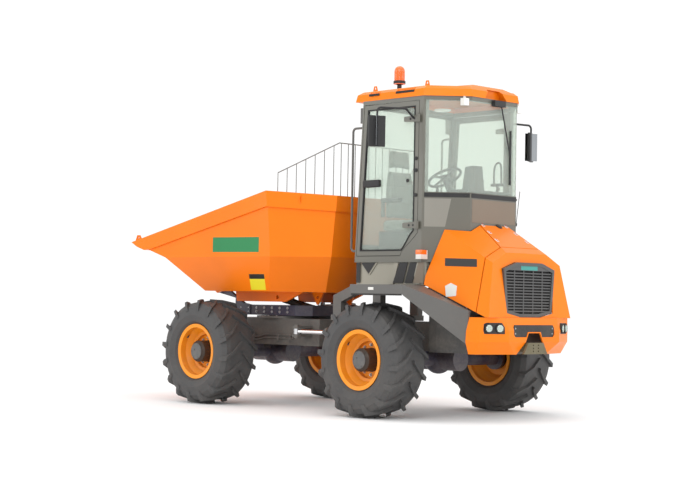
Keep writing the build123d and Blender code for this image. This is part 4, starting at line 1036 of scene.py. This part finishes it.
# %% Dress the engine
canister = [(0, 0), (0.07, 0), (0.08, 0.012), (0.08, 0.05), (0.084, 0.054), (0.084, 0.068),
            (0.08, 0.072), (0.08, 0.28), (0.07, 0.3), (0.034, 0.306), (0.034, 0.35), (0, 0.35)]
silencer = [(0, 0), (0.05, 0), (0.066, 0.016), (0.066, 0.12), (0.07, 0.125), (0.066, 0.13),
            (0.066, 0.34), (0.05, 0.356), (0, 0.356)]
oil_filter = [(0, 0), (0.042, 0), (0.042, 0.07), (0.036, 0.085), (0, 0.087)]
bm = bmesh.new()
ring(bm, (-1.66, -0.14, 1.63), rearward, canister, 40)
finish_piece("air_cleaner", bm, moulded_black)
bm = bmesh.new()
ring(bm, (-1.62, 0.16, 1.61), rearward, silencer, 40)
tube(bm, [(-1.8, 0.16, 1.545), (-1.8, 0.2, 1.49), (-1.8, 0.22, 1.4), (-1.8, 0.24, 1.3)], 0.024, 16)
finish_piece("muffler", bm, zinc)

pulleys = [(0, 0.86, 0.075), (-0.2, 1.06, 0.04), (0.16, 1.2, 0.055)]
groove = ((0, 0), (1, 0), (1, 0.006), (0.86, 0.011), (1, 0.016), (1, 0.022), (0.6, 0.022), (0.5, 0.016),
          (0, 0.016))
bm = bmesh.new()
for y, z, radius in pulleys:
    ring(bm, (-2.309, y, z), rearward, [(radius * share, height) for share, height in groove], 36)
    hex_bolt(bm, (-2.325, y, z), rearward, 0.009)
finish_piece("pulleys", bm, engine_iron)
belt_x, belt_gap, belt_thick = -2.315, 0.001, 0.004
middle = Vector((0, sum(p[0] for p in pulleys), sum(p[1] for p in pulleys))) / len(pulleys)
bm = bmesh.new()
for index, (y, z, radius) in enumerate(pulleys):
    next_y, next_z, next_radius = pulleys[(index + 1) % len(pulleys)]
    run = Vector((0, next_y - y, next_z - z)).normalized()
    aside = Vector((0, run.z, -run.y))
    if aside.dot(Vector((0, y, z)) - middle) < 0:
        aside.negate()
    start = Vector((belt_x, y, z)) + aside * (radius + belt_gap)
    end = Vector((belt_x, next_y, next_z)) + aside * (next_radius + belt_gap)
    plate(bm, [start + aside * belt_thick, start, end, end + aside * belt_thick], 0.01, 0.0008)
finish_piece("fan_belt", bm, gasket_black)

bm = bmesh.new()
tube(bm, [(-2.01, -0.14, 1.63), (-2.06, -0.14, 1.63), (-2.1, -0.12, 1.6), (-2.1, -0.08, 1.52),
          (-2.1, -0.05, 1.46)], 0.03, 16)
tube(bm, [(-2.2, 0.2, 1.45), (-2.26, 0.22, 1.5), (-2.33, 0.22, 1.5), (-2.38, 0.2, 1.45)], 0.022, 16)
tube(bm, [(-2.25, -0.24, 0.98), (-2.31, -0.26, 0.96), (-2.36, -0.26, 0.98), (-2.39, -0.24, 1.04)], 0.022, 16)
finish_piece("engine_hoses", bm, gasket_black)
bm = bmesh.new()
for _, sign in flanks:
    for index in range(6):
        hex_bolt(bm, (-1.6 - index * 0.12, sign * 0.302, 1.12), (0, sign, 0), 0.009)
    ring(bm, (-1.95, sign * 0.302, 0.86), (0, sign, 0), oil_filter, 28)
finish_piece("engine_fittings", bm, zinc)
print("engine dressed")


# %% [markdown]
# ## Inside the cab
# Through the glass one sees the arm rests, the joystick, switches, pedals and a ribbed
# mat, a handle on the right pillar and a lamp unit under the roof.

# %% Furnish the cab
arm_y = 0.285   # from the seat's middle line out to an arm rest
bm = bmesh.new()
for y in (driver_y - arm_y, driver_y + arm_y):
    block(bm, at(-1.2, y - 0.03, 2.2), at(-0.93, y + 0.03, 2.245), 0.012, 3)
    block(bm, at(-0.96, y - 0.012, 2.05), at(-0.925, y + 0.012, 2.21), 0.005)
finish_piece("arm_rests", bm, moulded_black)
grip = [(0, 0), (0.026, 0), (0.02, 0.012), (0.012, 0.02), (0.008, 0.05), (0.016, 0.07), (0.019, 0.1),
        (0.016, 0.13), (0.008, 0.142), (0, 0.143)]
bm = bmesh.new()
ring(bm, at(-1.19, driver_y - arm_y, 2.245), up, grip, 24)
finish_piece("joystick", bm, moulded_black)
bm = bmesh.new()
for row in range(2):
    for column in range(5):
        spot = at(-1.77 + row * 0.035, -0.24 + column * 0.045, 2.2845)
        block(bm, spot - Vector((0.011, 0.016, 0)), spot + Vector((0.011, 0.016, 0.007)), 0.002)
finish_piece("dash_switches", bm, blank_white)
bm = bmesh.new()
for index in range(18):
    x = -1.5 + index * 0.032
    block(bm, at(x, driver_y - 0.2, 1.6125), at(x + 0.018, driver_y + 0.2, 1.6185), 0.0015, 1)
block(bm, at(-1.505, driver_y - 0.205, 1.6085), at(-0.93, driver_y + 0.205, 1.6128), 0.001, 1)
finish_piece("floor_mat", bm, gasket_black)
bm = bmesh.new()
for y in (driver_y - 0.12, driver_y + 0.12):
    block(bm, at(-1.5, y - 0.04, 1.67), at(-1.485, y + 0.04, 1.78), 0.004)
    bar(bm, at(-1.49, y, 1.62), at(-1.49, y, 1.7), 0.007, 12)
finish_piece("pedals", bm, zinc)
hoop = ((-1.66, -0.405, 2.43), (-1.66, -0.4, 2.52), (-1.665, -0.4, 2.6), (-1.69, -0.4, 2.645),
        (-1.74, -0.4, 2.65), (-1.76, -0.4, 2.6), (-1.76, -0.4, 2.52), (-1.76, -0.405, 2.43))
bm = bmesh.new()
tube(bm, [at(*place) for place in hoop], 0.011, 12)
block(bm, at(-1.79, -0.42, 2.4), at(-1.63, -0.38, 2.432), 0.006)
bar(bm, at(-1.71, -0.4, 2.28), at(-1.71, -0.4, 2.41), 0.014, 16)
finish_piece("tablet_handle", bm, moulded_black)
bm = bmesh.new()
roof_light = [(0, 0), (0.09, 0), (0.09, 0.01), (0.07, 0.022), (0, 0.024)]
ring(bm, at(-1.28, 0.0, 3.205), (0, 0, -1), roof_light, 36)
finish_piece("roof_light", bm, lamp_lens)
print("cab furnished")


# %% [markdown]
# ## Small fittings outside
# A hook on the skip's flank, a bare label on each fender, the aerial and the screws of
# the tail panel finish the machine's outside.

# %% Hooks, labels, aerial and screws
bm = bmesh.new()
for _, sign in flanks:
    tube(bm, [at(-0.072, sign * y, z) for y, z in ((0.9, 2.29), (0.915, 2.27), (0.918, 2.23), (0.9, 2.2))],
         0.008, 12)
finish_piece("skip_hooks", bm, skip_orange, "skip_body")
bm = bmesh.new()
for _, sign in flanks:
    side_block(bm, sign, (-1.472, -1.398), (1.1995, 1.202), (1.281, 1.309), 0.0008)
finish_piece("fender_marks", bm, blank_white)
bm = bmesh.new()
bar(bm, at(-1.99, -0.375, 1.99), at(-1.99, -0.43, 2.34), 0.0035, 12)
bar(bm, at(-1.99, -0.372, 1.975), at(-1.99, -0.377, 2.005), 0.011, 16)
finish_piece("aerial", bm, moulded_black)
bm = bmesh.new()
for y in (-0.29, 0.29):
    for z in (0.875, 0.925):
        hex_bolt(bm, (-2.5815, y, z), rearward, 0.006, 0.004)
finish_piece("panel_screws", bm, zinc)
print("small fittings added")
